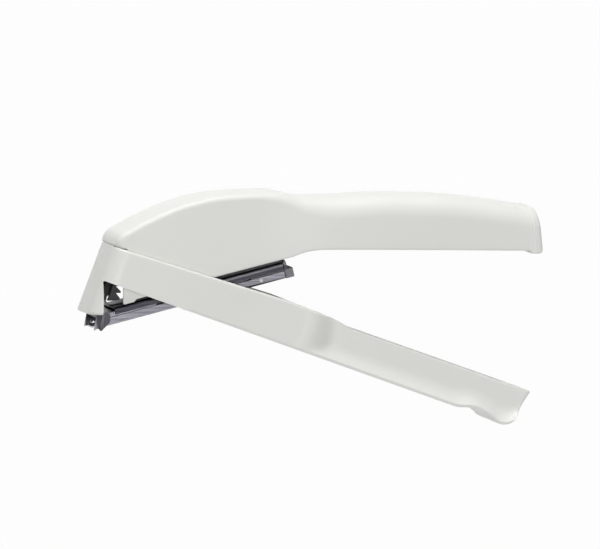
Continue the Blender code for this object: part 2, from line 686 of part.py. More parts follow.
def cut_yoke(lever):
    """The slot between the arms, open above and below, with a floor only behind the cartridge's reach."""
    inner = HALF_WIDTH - ARM_WALL
    lean = (NOSE_REACH - NOSE_TOP_REACH) / (lever_top(-NOSE_TOP_REACH) - NOSE_FLOOR)
    low, high = NOSE_FLOOR - OVERRUN, ARM_TOP + NOSE_REACH
    rings = []
    for share in BOW_SHARES:
        back = FRONT_WALL + share * (BOW_DEPTH - FRONT_WALL)
        half = bow_half(share, HALF_WIDTH) - FRONT_WALL - share * (ARM_WALL - FRONT_WALL)
        x_low = -NOSE_REACH + back + (low - NOSE_FLOOR) * lean
        x_high = -NOSE_REACH + back + (high - NOSE_FLOOR) * lean
        rings.append([(x_low, low, half), (x_high, high, half), (x_high, high, -half), (x_low, low, -half)])
    front_end = YOKE_FLOOR_START - OVERRUN
    for x, floor in ((0, low), (front_end, lever_bottom(front_end) - OVERRUN)):
        rings.append([(x, floor, inner), (x, high, inner), (x, high, -inner), (x, floor, -inner)])
    cut(lever, loft("yoke_front", rings, PIVOT))
    inner -= SLIP_GAP
    rings = []
    for x in (front_end - OVERRUN, YOKE_FLOOR_START, YOKE_FLOOR_START, YOKE_END):
        floor = lever_bottom(x) + (FLOOR_WALL if len(rings) > 1 else -OVERRUN)
        rings.append([(x, floor, inner), (x, high, inner), (x, high, -inner), (x, floor, -inner)])
    cut(lever, loft("yoke_front_low", rings[:2], PIVOT), loft("yoke_rear", rings[2:], PIVOT))


def trough_ring(x, floor):
    half = TROUGH_HALF
    high = lever_top(x) + OVERRUN
    return [(x, floor, half), (x, high, half), (x, high, -half), (x, floor, -half)]


def cut_trough(lever):
    """The hollow of the lower handle, open above, with low cross ribs."""
    step = (TROUGH_END - TROUGH_START + RIB_WALL) / TROUGH_RIBS
    for k in range(TROUGH_RIBS):
        a = TROUGH_START + k * step
        b = a + step - RIB_WALL
        places = [a, (a + b) / 2, b]
        rings = [trough_ring(x, lever_bottom(x) + FLOOR_WALL) for x in places]
        cut(lever, loft(f"trough_bay_{k}", rings, PIVOT))
    rings = []
    for x in (TROUGH_START + SLIP_GAP, (TROUGH_START + TROUGH_END) / 2, TROUGH_END - SLIP_GAP):
        ring = trough_ring(x, lever_top(x) - RIB_SETBACK)
        rings.append([(x, y, z / TROUGH_HALF * (TROUGH_HALF - SLIP_GAP)) for x, y, z in ring])
    cut(lever, loft("trough_upper", rings, PIVOT))


def make_trigger_lever():
    lever = make_lever_body()
    window_top = arm_bottom(-WINDOW_FRONT)
    slope = math.tan(ARM_BOTTOM_ANGLE)
    meet = (NOSE_FLOOR - ARM_BOTTOM) / slope
    low = NOSE_FLOOR - OVERRUN
    outline = [
        (-WINDOW_FRONT, low),
        (-WINDOW_FRONT, window_top - WINDOW_CORNER),
        (-WINDOW_FRONT + WINDOW_CORNER / 3, window_top - WINDOW_CORNER / 2),
        (-WINDOW_FRONT + WINDOW_CORNER, arm_bottom(-WINDOW_FRONT + WINDOW_CORNER)),
        (meet + OVERRUN, arm_bottom(meet + OVERRUN)),
        (meet + OVERRUN, low - OVERRUN),
    ]
    span = HALF_WIDTH + OVERRUN
    for side, name in ((1, "near"), (-1, "far")):
        a, b = sorted((side * NOSE_FACE_HALF, side * span))
        cut(lever, prism(f"window_{name}", outline, a, b, PIVOT))
    cut_yoke(lever)
    cut_trough(lever)
    seat = HALF_WIDTH - ARM_WALL + PIN_SEAT_DEPTH
    cut(lever, pin("pivot_seat", PIVOT_PIN_RADIUS + RUNNING_GAP, -seat, seat, (0, 0), PIVOT))
    seat = HALF_WIDTH - DRIVE_SEAT_SETBACK
    place = (DRIVE_PIN_X, DRIVE_PIN_Y)
    cut(lever, pin("drive_seat", DRIVE_PIN_RADIUS + SLIP_GAP, -seat, seat, place, PIVOT))
    return lever


def make_pins():
    low = WEDGE_HALF - HANDLE_WALL
    high = HALF_WIDTH - ARM_WALL + PIN_SEAT_DEPTH - SLIP_GAP
    pin("pivot_pin_near", PIVOT_PIN_RADIUS, low, high, (0, 0), PIVOT, STEEL)
    pin("pivot_pin_far", PIVOT_PIN_RADIUS, -high, -low, (0, 0), PIVOT, STEEL)
    high = HALF_WIDTH - DRIVE_SEAT_SETBACK - SLIP_GAP
    pin("drive_pin", DRIVE_PIN_RADIUS, -high, high, (DRIVE_PIN_X, DRIVE_PIN_Y), PIVOT, STEEL)


# The cartridge


def u_section(half, low, high, wall, open_side):
    """Points of a U in the plane across the cartridge, as (z, v), open upward or downward."""
    if open_side == "up":
        a, b = low, high
        lift = wall
    else:
        a, b = high, low
        lift = -wall
    return [
        (-half, b), (-half, a), (half, a), (half, b),
        (half - wall, b), (half - wall, a + lift), (-half + wall, a + lift), (-half + wall, b),
    ]


def make_channel():
    outline = u_section(CHANNEL_HALF, 0, CHANNEL_HEIGHT, SHEET, "up")
    channel = prism("cartridge_channel", outline, CHANNEL_START, CHANNEL_END, CARTRIDGE, STEEL, "X")
    half = ANVIL_HALF + RUNNING_GAP
    low = (CHANNEL_START - OVERRUN, -OVERRUN, -half)
    cut(channel, box("anvil_bed", low, (ANVIL_END + RUNNING_GAP, SHEET + SLIP_GAP, half), CARTRIDGE))
    span = CHANNEL_HALF + OVERRUN
    radius = END_PIN_RADIUS + SLIP_GAP
    cut(channel, thin_pin("end_pin_hole", radius, -span, span, (END_PIN_U, END_PIN_V), CARTRIDGE))


def make_cover():
    outline = u_section(CHANNEL_HALF, COVER_FOOT, COVER_TOP, SHEET, "down")
    cover = prism("cartridge_cover", outline, COVER_START, CHANNEL_END, CARTRIDGE, DARK_STEEL, "X")
    for name, u in (("front", SCREW_FRONT_U), ("rear", SCREW_REAR_U)):
        hole = SCREW_RADIUS + RUNNING_GAP
        cut(cover, thin_pin(f"cover_hole_{name}", hole, COVER_FOOT, RAIL_FOOT, (u, 0), CARTRIDGE, along="Y"))


def make_rail():
    low = (RAIL_START, RAIL_FOOT, -RAIL_HALF)
    rail = box("handle_rail", low, (CHANNEL_END, RAIL_TOP, RAIL_HALF), CARTRIDGE, BLACK_PLASTIC)
    for name, u in (("front", SCREW_FRONT_U), ("rear", SCREW_REAR_U)):
        hole = SCREW_RADIUS + RUNNING_GAP
        low, high = COVER_FOOT, RAIL_TOP + OVERRUN
        cut(rail, thin_pin(f"rail_hole_{name}", hole, low, high, (u, 0), CARTRIDGE, along="Y"))


def make_track():
    outline = u_section(TRACK_HALF, TRACK_FOOT, TRACK_TOP, SHEET, "down")
    track = prism("staple_track", outline, CHANNEL_START, TRACK_END, CARTRIDGE, STEEL, "X")
    low = (TRACK_SLOT_START, TRACK_FOOT, -TRACK_SLOT_HALF)
    high = (TRACK_END - SLIP_GAP - SHEET, TRACK_TOP + OVERRUN, TRACK_SLOT_HALF)
    cut(track, box("track_slot", low, high, CARTRIDGE))


def make_anvil():
    """The tongue that the staple is bent around, with its front edge drawn in."""
    nib = ANVIL_HALF / 4
    outline = [
        (-ANVIL_HALF, -ANVIL_END), (ANVIL_HALF, -ANVIL_END), (ANVIL_HALF, -ANVIL_START - nib),
        (ANVIL_HALF - nib, -ANVIL_START), (-ANVIL_HALF + nib, -ANVIL_START), (-ANVIL_HALF, -ANVIL_START - nib),
    ]
    outline = [(-v, z) for z, v in outline]
    prism("anvil_plate", outline, 0, SHEET, CARTRIDGE, STEEL, "Y")


def make_ejector_spring():
    low = SHEET + SLIP_GAP
    start = (CHANNEL_START, low, -EJECTOR_HALF)
    end = (ANVIL_END + OVERRUN, low + EJECTOR_THICKNESS, EJECTOR_HALF)
    box("ejector_spring", start, end, CARTRIDGE, STEEL)


def make_end_cap():
    """The stepped cap that closes the rear, with a plug reaching in to the cross pin."""
    step = CARTRIDGE_LENGTH - CAP_STEP
    face = CHANNEL_END + RUNNING_GAP
    outline = [
        (face, 0), (CARTRIDGE_LENGTH, 0), (CARTRIDGE_LENGTH, COVER_FOOT), (step, COVER_FOOT),
        (step, COVER_TOP), (step - CAP_STEP / 4, RAIL_TOP), (face, RAIL_TOP),
    ]
    cap = prism("cartridge_end_cap", outline, -CHANNEL_HALF, CHANNEL_HALF, CARTRIDGE, BLACK_PLASTIC)
    low = (PLUG_START, SHEET + RUNNING_GAP, -PLUG_HALF)
    high = (face + SHEET, COVER_TOP - SHEET - RUNNING_GAP, PLUG_HALF)
    fuse(cap, box("cap_plug", low, high, CARTRIDGE))
    span = CHANNEL_HALF + OVERRUN
    radius = END_PIN_RADIUS + SLIP_GAP
    cut(cap, thin_pin("cap_pin_hole", radius, -span, span, (END_PIN_U, END_PIN_V), CARTRIDGE))
    seat = PLUG_START + ROD_SEAT + RUNNING_GAP
    low, radius = PLUG_START - OVERRUN, ROD_RADIUS + SLIP_GAP
    cut(cap, thin_pin("rod_seat", radius, low, seat - SHEET, (FEED_AXIS_V, 0), CARTRIDGE, along="X"))
    reach = CHANNEL_HALF + END_PIN_PROUD
    place = (END_PIN_U, END_PIN_V)
    thin_pin("end_pin", END_PIN_RADIUS, -reach, reach, place, CARTRIDGE, STEEL)


# Staples and their feed

CROWN_FOOT = TRACK_TOP + SLIP_GAP
STACK_START = CHANNEL_START + SLIP_GAP
STACK_END = STACK_START + STAPLE_COUNT * STAPLE_PITCH


def staple_ring(u, inset):
    """The U of a staple across the cartridge, drawn in by the groove between two staples."""
    half, inner = STAPLE_HALF - inset, STAPLE_HALF - STAPLE_WIRE + inset
    top, under = CROWN_FOOT + STAPLE_WIRE - inset, CROWN_FOOT + inset
    outline = [
        (-half, STAPLE_LEG_FOOT), (-half, top), (half, top), (half, STAPLE_LEG_FOOT),
        (inner, STAPLE_LEG_FOOT), (inner, under), (-inner, under), (-inner, STAPLE_LEG_FOOT),
    ]
    return [(u, v, z) for z, v in outline]


def make_staples():
    rings = []
    groove = STAPLE_WIRE / 6
    for k in range(STAPLE_COUNT):
        start = STACK_START + k * STAPLE_PITCH
        rings.append(staple_ring(start, groove))
        rings.append(staple_ring(start + STAPLE_PITCH / 2, 0))
    rings.append(staple_ring(STACK_END, groove))
    loft("staple_stack", rings, CARTRIDGE, STEEL)

    # The staple under the former stands upright, as the former moves
    crown = FORMER_FOOT - RUNNING_GAP
    foot = cartridge_line(FORMER_X, 0) + RUNNING_GAP
    half, inner = STAPLE_HALF, STAPLE_HALF - STAPLE_WIRE
    outline = [
        (-half, foot), (-half, crown), (half, crown), (half, foot),
        (inner, foot), (inner, crown - STAPLE_WIRE), (-inner, crown - STAPLE_WIRE), (-inner, foot),
    ]
    low = FORMER_X + (FORMER_THICKNESS - STAPLE_WIRE) / 2
    prism("front_staple", outline, low, low + STAPLE_WIRE, PIVOT, STEEL, "X")


def make_feed():
    start = STACK_END + RUNNING_GAP
    low_leg = TRACK_FOOT
    outline = [
        (-STAPLE_HALF, low_leg), (-STAPLE_HALF, PUSHER_TOP), (STAPLE_HALF, PUSHER_TOP), (STAPLE_HALF, low_leg),
        (STAPLE_HALF - STAPLE_WIRE, low_leg), (STAPLE_HALF - STAPLE_WIRE, CROWN_FOOT),
        (-STAPLE_HALF + STAPLE_WIRE, CROWN_FOOT), (-STAPLE_HALF + STAPLE_WIRE, low_leg),
    ]
    pusher = prism("staple_pusher", outline, start, start + PUSHER_LENGTH, CARTRIDGE, BLACK_PLASTIC, "X")
    tab_end = start + PUSHER_LENGTH - SHEET
    low = (tab_end - PUSHER_TAB_LENGTH, FEED_AXIS_V - FEED_COIL_RADIUS, -PUSHER_TAB_HALF)
    fuse(pusher, box("pusher_tab", low, (tab_end, PUSHER_TOP - SHEET / 2, PUSHER_TAB_HALF), CARTRIDGE))
    low, high = start - OVERRUN, start + PUSHER_LENGTH + OVERRUN
    place = (FEED_AXIS_V, 0)
    cut(pusher, thin_pin("tab_hole", ROD_RADIUS + SLIP_GAP, low, high, place, CARTRIDGE, along="X"))
    rod_end = PLUG_START + ROD_SEAT - SHEET
    thin_pin("guide_rod", ROD_RADIUS, ROD_START, rod_end, place, CARTRIDGE, STEEL, "X")
    make_feed_spring(tab_end + RUNNING_GAP + FEED_WIRE, TRACK_END - RUNNING_GAP - FEED_WIRE)


def make_feed_spring(start, end):
    curve = bpy.data.curves.new("feed_spring", "CURVE")
    curve.dimensions = "3D"
    curve.bevel_depth = FEED_WIRE / 2
    curve.bevel_resolution = 2
    curve.use_fill_caps = True
    count = round((end - start) / FEED_PITCH) * COIL_SIDES
    spline = curve.splines.new("POLY")
    spline.points.add(count)
    for k, point in enumerate(spline.points):
        turn = k / COIL_SIDES * 2 * math.pi
        u = start + (end - start) * k / count
        up, out = FEED_COIL_RADIUS * math.sin(turn), FEED_COIL_RADIUS * math.cos(turn)
        point.co = (u, FEED_AXIS_V + up, out, 1)
    spring = bpy.data.objects.new("feed_spring", curve)
    spring.parent = CARTRIDGE
    curve.materials.append(STEEL)
    GROUPS["skin_stapler"].objects.link(spring)


# The front guide, the former and its carrier


def make_nose_guide():
    """A sheet bent around the cartridge's front, leaning back, with an open middle over the anvil."""
    foot = TIP_Y - GUIDE_FOOT
    front = TIP_X
    top = foot + GUIDE_FOOT + GUIDE_HEIGHT
    back = front + GUIDE_LENGTH
    outline = [
        (front, foot), (front + GUIDE_LEAN, top), (back, top),
        (back, cartridge_line(back, CHANNEL_HEIGHT / 2)), (front + 2 * GUIDE_LEAN, foot),
    ]
    guide = prism("nose_guide", outline, -GUIDE_HALF, GUIDE_HALF, PIVOT, STEEL)
    middle = (front + back) / 2
    round_corners(guide, middle, GUIDE_HEIGHT / 2, GUIDE_ROUND)
    inner = GUIDE_HALF - GUIDE_SHEET
    low, high = foot - OVERRUN, top + OVERRUN
    lean = GUIDE_LEAN / (top - foot)
    hollow = [
        (front + GUIDE_SHEET - OVERRUN * lean, low), (front + GUIDE_SHEET + GUIDE_LEAN + OVERRUN * lean, high),
        (back + OVERRUN, high), (back + OVERRUN, low),
    ]
    hollow = prism("guide_hollow", hollow, -inner, inner, PIVOT)
    round_corners(hollow, middle, GUIDE_HEIGHT / 2, GUIDE_ROUND - GUIDE_SHEET)
    cut(guide, hollow)
    half = GUIDE_OPENING_HALF
    reach = (front - OVERRUN, front + GUIDE_LEAN + OVERRUN)
    cut(guide, box("guide_mouth", (reach[0], low, -half), (reach[1], top - GUIDE_BAR, half), PIVOT))


def make_former():
    half, notch = FORMER_HALF, FORMER_NOTCH_HALF
    outline = [
        (-half, FORMER_FOOT), (-half, FORMER_TOP), (half, FORMER_TOP), (half, FORMER_FOOT),
        (notch, FORMER_FOOT), (notch, FORMER_NOTCH_TOP), (-notch, FORMER_NOTCH_TOP), (-notch, FORMER_FOOT),
    ]
    back = FORMER_X + FORMER_THICKNESS
    return prism("former_plate", outline, FORMER_X, back, PIVOT, STEEL, "X")


def carrier_outline(set_back=0.0):
    """Side view of the carrier's block: its front leans back with the nose's inner wall."""
    lean = math.tan(CARRIER_LEAN)
    front = CARRIER_FRONT + set_back
    front_top = front + (CARRIER_TOP - FORMER_TOP) * lean
    return [
        (front, CARRIER_FOOT), (front, FORMER_TOP), (front_top, CARRIER_TOP),
        (CARRIER_BACK, CARRIER_TOP), (CARRIER_BACK, CHEEK_TOP), (CHEEK_ROOT, CHEEK_TOP - TOOTH_REACH),
        (CHEEK_ROOT, CARRIER_FOOT),
    ]


def cheek_outline():
    """Side view of a cheek: a plate whose rear edge steps back in saw teeth."""
    pitch = (CHEEK_TOP - CHEEK_FOOT) / TOOTH_COUNT
    front_top = CHEEK_FRONT + (CHEEK_TOP - CHEEK_FOOT) * math.tan(CARRIER_LEAN)
    outline = [(CHEEK_FRONT, CHEEK_FOOT), (front_top, CHEEK_TOP)]
    for k in range(TOOTH_COUNT):
        high = CHEEK_TOP - k * pitch
        reach = TOOTH_REACH * (1 - k / (2 * TOOTH_COUNT))
        outline.append((CHEEK_ROOT + SLIP_GAP, high))
        outline.append((CHEEK_ROOT + reach, high - 2 * pitch / 3))
        outline.append((CHEEK_ROOT + reach, high - pitch + SLIP_GAP))
        if k < TOOTH_COUNT - 1:
            outline.append((CHEEK_ROOT, high - pitch + SLIP_GAP))
    outline.append((CHEEK_ROOT, CHEEK_FOOT))
    return outline


def make_carrier():
    core = CHEEK_INNER + SLIP_GAP
    carrier = prism("former_carrier", carrier_outline(), -CORE_HALF, CORE_HALF, PIVOT, BLACK_PLASTIC)
    fuse(carrier, prism("carrier_rear", carrier_outline(CORE_STEP), -core, core, PIVOT))
    foot_back = CARRIER_FRONT + RIVET_DEPTH + SHEET
    for side, name in ((1, "near"), (-1, "far")):
        a, b = sorted((side * CHEEK_INNER, side * WEDGE_HALF))
        fuse(carrier, prism(f"cheek_{name}", cheek_outline(), a, b, PIVOT))
        a, b = sorted((side * RIVET_FOOT_INNER, side * (CORE_HALF - SLIP_GAP)))
        low, high = (CARRIER_FRONT + SLIP_GAP / 3, RIVET_FOOT, a), (foot_back, CARRIER_FOOT + SHEET, b)
        fuse(carrier, box(f"rivet_foot_{name}", low, high, PIVOT))
    gap = DRIVE_PIN_RADIUS + SLIP_GAP
    low = (CARRIER_FRONT - OVERRUN, DRIVE_PIN_Y - gap, -HALF_WIDTH)
    high = (DRIVE_PIN_X + gap + SLIP_GAP, DRIVE_PIN_Y + gap, HALF_WIDTH)
    cut(carrier, box("drive_fork", low, high, PIVOT))
    return carrier


def make_rivets(former, carrier):
    """Two rivets that hold the former plate to the carrier's feet, their heads in front of the plate."""
    for side, name in ((1, "near"), (-1, "far")):
        place = (RIVET_Y, side * RIVET_Z)
        low, high = FORMER_X - SLIP_GAP / 3 - RIVET_HEAD, CARRIER_FRONT + RIVET_DEPTH
        reach = (low - OVERRUN, high + SLIP_GAP)
        hole = thin_pin(f"rivet_hole_{name}", RIVET_RADIUS + SLIP_GAP, *reach, place, PIVOT, along="X")
        cut(former, hole)
        cut(carrier, hole)
        rivet = thin_pin(f"former_rivet_{name}", RIVET_RADIUS, low, high, place, PIVOT, STEEL, "X")
        head = (low, low + RIVET_HEAD)
        fuse(rivet, thin_pin(f"rivet_head_{name}", RIVET_HEAD_RADIUS, *head, place, PIVOT, along="X"))


# The return leaf, its clip and the rail screws


def make_return_spring():
    """A steel leaf on the cover, bent up at its free end under the carrier."""
    foot = COVER_TOP + SLIP_GAP
    half = LEAF_THICKNESS / 2

    def on_cover(u):
        return Vector(
            (TIP_X + u * math.cos(CARTRIDGE_ANGLE) - (foot + half) * math.sin(CARTRIDGE_ANGLE),
             TIP_Y + u * math.sin(CARTRIDGE_ANGLE) + (foot + half) * math.cos(CARTRIDGE_ANGLE))
        )

    bend = on_cover(LEAF_START)
    tip_y = CARRIER_FOOT - RUNNING_GAP - half
    radius = (tip_y - bend.y) / 2
    centre = Vector((LEAF_HOOK_X + radius, bend.y + radius))
    line = [on_cover(LEAF_END), bend]
    for k in range(COMPASS_STEPS + 1):
        turn = -math.pi / 2 - k / COMPASS_STEPS * math.pi
        line.append(centre + Vector((math.cos(turn), math.sin(turn))) * radius)
    outer, inner = [], []
    for k, point in enumerate(line):
        before, after = line[max(k - 1, 0)], line[min(k + 1, len(line) - 1)]
        ahead = (after - before).normalized()
        side = Vector((-ahead.y, ahead.x)) * half
        outer.append(point + side)
        inner.append(point - side)
    outline = [tuple(p) for p in outer + inner[::-1]]
    prism("return_spring", outline, -LEAF_HALF, LEAF_HALF, PIVOT, STEEL)


def make_spring_clip():
    """The dark hump that holds the leaf down on the cover."""
    low, high = COVER_TOP + RUNNING_GAP, RAIL_TOP - SLIP_GAP
    ease = (high - low) / 2
    outline = [
        (CLIP_START, low), (CLIP_START, low + ease), (CLIP_START + ease, high),
        (CLIP_END - ease, high), (CLIP_END, low + ease), (CLIP_END, low),
    ]
    clip = prism("spring_clip", outline, -CLIP_HALF, CLIP_HALF, CARTRIDGE, BLACK_PLASTIC)
    half = LEAF_HALF + RUNNING_GAP
    start = (CLIP_START - OVERRUN, low - OVERRUN, -half)
    cut(clip, box("leaf_groove", start, (CLIP_END + OVERRUN, low + LEAF_THICKNESS + SLIP_GAP, half), CARTRIDGE))


def make_screws():
    """Rail screws: a flat head under the cover's top and a shank up into the handle's post."""
    under = COVER_TOP - SHEET
    for name, u in (("front", SCREW_FRONT_U), ("rear", SCREW_REAR_U)):
        low, high = under - SLIP_GAP - SCREW_HEAD, WEDGE_SEAT + SCREW_LENGTH - RUNNING_GAP
        screw = thin_pin(f"rail_screw_{name}", SCREW_RADIUS, low, high, (u, 0), CARTRIDGE, STEEL, "Y")
        head = pin(f"screw_head_{name}", SCREW_HEAD_RADIUS, low, low + SCREW_HEAD, (u, 0), CARTRIDGE, along="Y")
        fuse(screw, head)


make_upper_handle()
make_trigger_lever()
make_pins()
make_channel()
make_cover()
make_rail()
make_track()
make_anvil()
make_ejector_spring()
make_end_cap()
make_staples()
make_feed()
make_nose_guide()
make_rivets(make_former(), make_carrier())
make_return_spring()
make_spring_clip()
make_screws()
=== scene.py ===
"""Skin stapler on a plain pale floor, dressed and lit as in the reference photograph.

The scene is in metres, in the CAD's frame. The stapler lies on its far side, so the camera looks down on it:
the picture's right is +X and its top is +Y.
"""

import json
import math

import bmesh
import bpy
from mathutils import Matrix, Vector


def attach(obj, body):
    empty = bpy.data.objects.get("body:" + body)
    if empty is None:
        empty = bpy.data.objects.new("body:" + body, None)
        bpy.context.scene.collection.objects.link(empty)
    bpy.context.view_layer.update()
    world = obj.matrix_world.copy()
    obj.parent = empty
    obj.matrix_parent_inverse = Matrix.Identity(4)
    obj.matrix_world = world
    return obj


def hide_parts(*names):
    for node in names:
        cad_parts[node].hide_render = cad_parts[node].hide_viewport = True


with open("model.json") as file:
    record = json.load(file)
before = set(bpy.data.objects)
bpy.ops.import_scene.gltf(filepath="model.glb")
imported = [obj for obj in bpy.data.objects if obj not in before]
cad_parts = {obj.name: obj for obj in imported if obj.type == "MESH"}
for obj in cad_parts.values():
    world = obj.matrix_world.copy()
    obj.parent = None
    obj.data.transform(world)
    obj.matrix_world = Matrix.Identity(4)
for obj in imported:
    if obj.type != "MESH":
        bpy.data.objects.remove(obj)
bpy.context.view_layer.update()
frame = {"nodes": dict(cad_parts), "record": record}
NODES = frame["nodes"]
MM = 0.001

# Sizes and places of the stapler's parts are in millimetres, from the lever's pivot and the middle plane.
PIVOT = Vector(frame["record"]["behaviour"]["joints"][0]["pos_m"])
CARTRIDGE_ANGLE = math.radians(12.5)
TIP_X, TIP_Y = -30.5, -8.6  # the front end of the cartridge's foot

# The photograph: its size and scale, and where one point of the stapler lies in it
PHOTO_SIZE = (600, 549)
MM_PER_PIXEL = 0.32
KNOWN_POINT = Vector((1.1, 0.825, 11.0)) * MM
KNOWN_PIXEL = (312, 306)
CAMERA_SWING = math.radians(17)
CAMERA_RISE = math.radians(7)
CAMERA_DISTANCE = 6.0
SENSOR = 36.0


def make_camera():
    swing, rise = CAMERA_SWING, CAMERA_RISE
    right = Vector((math.cos(swing), 0, math.sin(swing)))
    back = Vector((-math.sin(swing) * math.cos(rise), math.sin(rise), math.cos(swing) * math.cos(rise)))
    up = back.cross(right)
    across = (PHOTO_SIZE[0] / 2 - KNOWN_PIXEL[0]) * MM_PER_PIXEL * MM
    along = (KNOWN_PIXEL[1] - PHOTO_SIZE[1] / 2) * MM_PER_PIXEL * MM
    target = KNOWN_POINT + right * across + up * along
    data = bpy.data.cameras.new("camera")
    data.sensor_width = SENSOR
    data.lens = SENSOR * CAMERA_DISTANCE / (PHOTO_SIZE[0] * MM_PER_PIXEL * MM)
    data.clip_end = 5 * CAMERA_DISTANCE
    camera = bpy.data.objects.new("camera", data)
    bpy.context.scene.collection.objects.link(camera)
    camera.matrix_world = Matrix.Translation(target + back * CAMERA_DISTANCE) @ Matrix(
        (right, up, back)
    ).transposed().to_4x4()
    bpy.context.scene.camera = camera


# Materials. Each pair says where a change starts and where it is complete: heights in centimetres over the
# cartridge's foot, places along X in millimetres from the pivot. The bumps are in metres.
# The cover's painted highlight: the heights over the cartridge's foot where it sets in, and the places along X
# where it starts.
PAINTED_HIGHLIGHT_HEIGHT, PAINTED_HIGHLIGHT_START = (0.40, 0.46), (-12, -4)
# End cap bands: a dark band of painted shade, a pale band of painted highlight, then the cap's black top.
CAP_BANDS = ((0.26, 0.31), (0.41, 0.45), (0.52, 0.56))
# Where the guide's painted highlight at its front gives way to painted shade behind it.
GUIDE_PAINTED_SHADE = (-30.4, -29.4)
SHEET_GRAIN, GUIDE_GRAIN = (60, 2600, 2600), (2600, 60, 2600)
GRAIN_BUMP, SPECKLE_BUMP, FINE_BUMP, BLACK_BUMP, WAVE_BUMP = 0.000006, 0.00001, 0.000012, 0.00002, 0.00012


class Shade:
    """A material's node tree, with short ways to add the nodes that are used here."""

    def __init__(self, name, metallic=0.0):
        self.material = bpy.data.materials.new(name)
        self.material.use_nodes = True
        self.nodes = self.material.node_tree.nodes
        self.links = self.material.node_tree.links
        self.shader = self.nodes["Principled BSDF"]
        self.shader.inputs["Metallic"].default_value = metallic
        self.place = self.nodes.new("ShaderNodeTexCoord").outputs["Object"]

    def stretched(self, scale, turn=0.0):
        node = self.nodes.new("ShaderNodeMapping")
        node.inputs["Scale"].default_value = scale
        node.inputs["Rotation"].default_value = (0, 0, turn)
        self.links.new(self.place, node.inputs["Vector"])
        return node.outputs["Vector"]

    def above_cartridge(self):
        """The height over the cartridge's foot, in centimetres."""
        from_foot = self.nodes.new("ShaderNodeVectorMath")
        from_foot.operation = "SUBTRACT"
        from_foot.inputs[1].default_value = PIVOT + Vector((TIP_X, TIP_Y, 0)) * MM
        self.links.new(self.place, from_foot.inputs[0])
        height = self.nodes.new("ShaderNodeVectorMath")
        height.operation = "DOT_PRODUCT"
        up = (-math.sin(CARTRIDGE_ANGLE), math.cos(CARTRIDGE_ANGLE), 0)
        height.inputs[1].default_value = [100 * share for share in up]
        self.links.new(from_foot.outputs["Vector"], height.inputs[0])
        return height.outputs["Value"]

    def along(self, start, end):
        """Rises from 0 to 1 between two places along X."""
        way = self.nodes.new("ShaderNodeSeparateXYZ")
        self.links.new(self.place, way.inputs[0])
        node = self.nodes.new("ShaderNodeMapRange")
        node.inputs["From Min"].default_value = PIVOT.x + start * MM
        node.inputs["From Max"].default_value = PIVOT.x + end * MM
        self.links.new(way.outputs["X"], node.inputs["Value"])
        return node.outputs["Result"]

    def blend(self, share, first, last):
        """The first colour where the share is 0, the last where it is 1."""
        node = self.nodes.new("ShaderNodeMix")
        node.data_type = "RGBA"
        self.links.new(share, node.inputs["Factor"])
        self.links.new(first, node.inputs["A"])
        self.links.new(last, node.inputs["B"])
        return node.outputs["Result"]

    def noise(self, scale, detail, place=None):
        node = self.nodes.new("ShaderNodeTexNoise")
        node.inputs["Scale"].default_value = scale
        node.inputs["Detail"].default_value = detail
        self.links.new(place or self.place, node.inputs["Vector"])
        return node.outputs["Fac"]

    def ramp(self, value, first, last, low=0.3, high=0.7):
        """Turns a value between low and high into a colour or a grey between first and last."""
        node = self.nodes.new("ShaderNodeValToRGB")
        ends = node.color_ramp.elements
        for end, at, tone in ((ends[0], low, first), (ends[1], high, last)):
            end.position = at
            end.color = (*tone, 1) if isinstance(tone, tuple) else (tone, tone, tone, 1)
        self.links.new(value, node.inputs["Fac"])
        return node.outputs["Color"]

    def set(self, socket, value):
        self.links.new(value, self.shader.inputs[socket])

    def bump(self, height, depth, after=None):
        """Raises the surface by height times depth, on top of an earlier bump."""
        node = self.nodes.new("ShaderNodeBump")
        node.inputs["Strength"].default_value = 1.0
        node.inputs["Distance"].default_value = depth
        self.links.new(height, node.inputs["Height"])
        if after:
            self.links.new(after, node.inputs["Normal"])
        self.set("Normal", node.outputs["Normal"])
        return node.outputs["Normal"]


def white_plastic():
    shade = Shade("white_plastic")
    flow = shade.noise(14, 3)
    shade.set("Base Color", shade.ramp(flow, (0.770, 0.772, 0.735), (0.800, 0.800, 0.770), low=0.35))
    shade.set("Roughness", shade.ramp(shade.noise(160, 3), 0.36, 0.46, high=0.75))
    fine = shade.bump(shade.noise(2600, 2), FINE_BUMP)
    shade.bump(shade.noise(90, 2), WAVE_BUMP, fine)
    return shade.material


def black_plastic(name, dark, light):
    shade = Shade(name)
    shade.set("Base Color", shade.ramp(shade.noise(300, 3), dark, light, low=0.35))
    shade.set("Roughness", shade.ramp(shade.noise(700, 2), 0.6, 0.75))
    shade.bump(shade.noise(2200, 2), BLACK_BUMP)
    return shade.material


def steel(name, dark, light, low=0.22, high=0.38):
    """Rolled sheet with its grain along the cartridge, and a roughness between low and high."""
    shade = Shade(name, metallic=1.0)
    grain = shade.stretched(SHEET_GRAIN, -CARTRIDGE_ANGLE)
    streaks = shade.noise(1.0, 4, grain)
    shade.set("Base Color", shade.ramp(streaks, dark, light))
    shade.set("Roughness", shade.ramp(shade.noise(1.0, 3, grain), low, high))
    shade.bump(streaks, GRAIN_BUMP)
    return shade.material


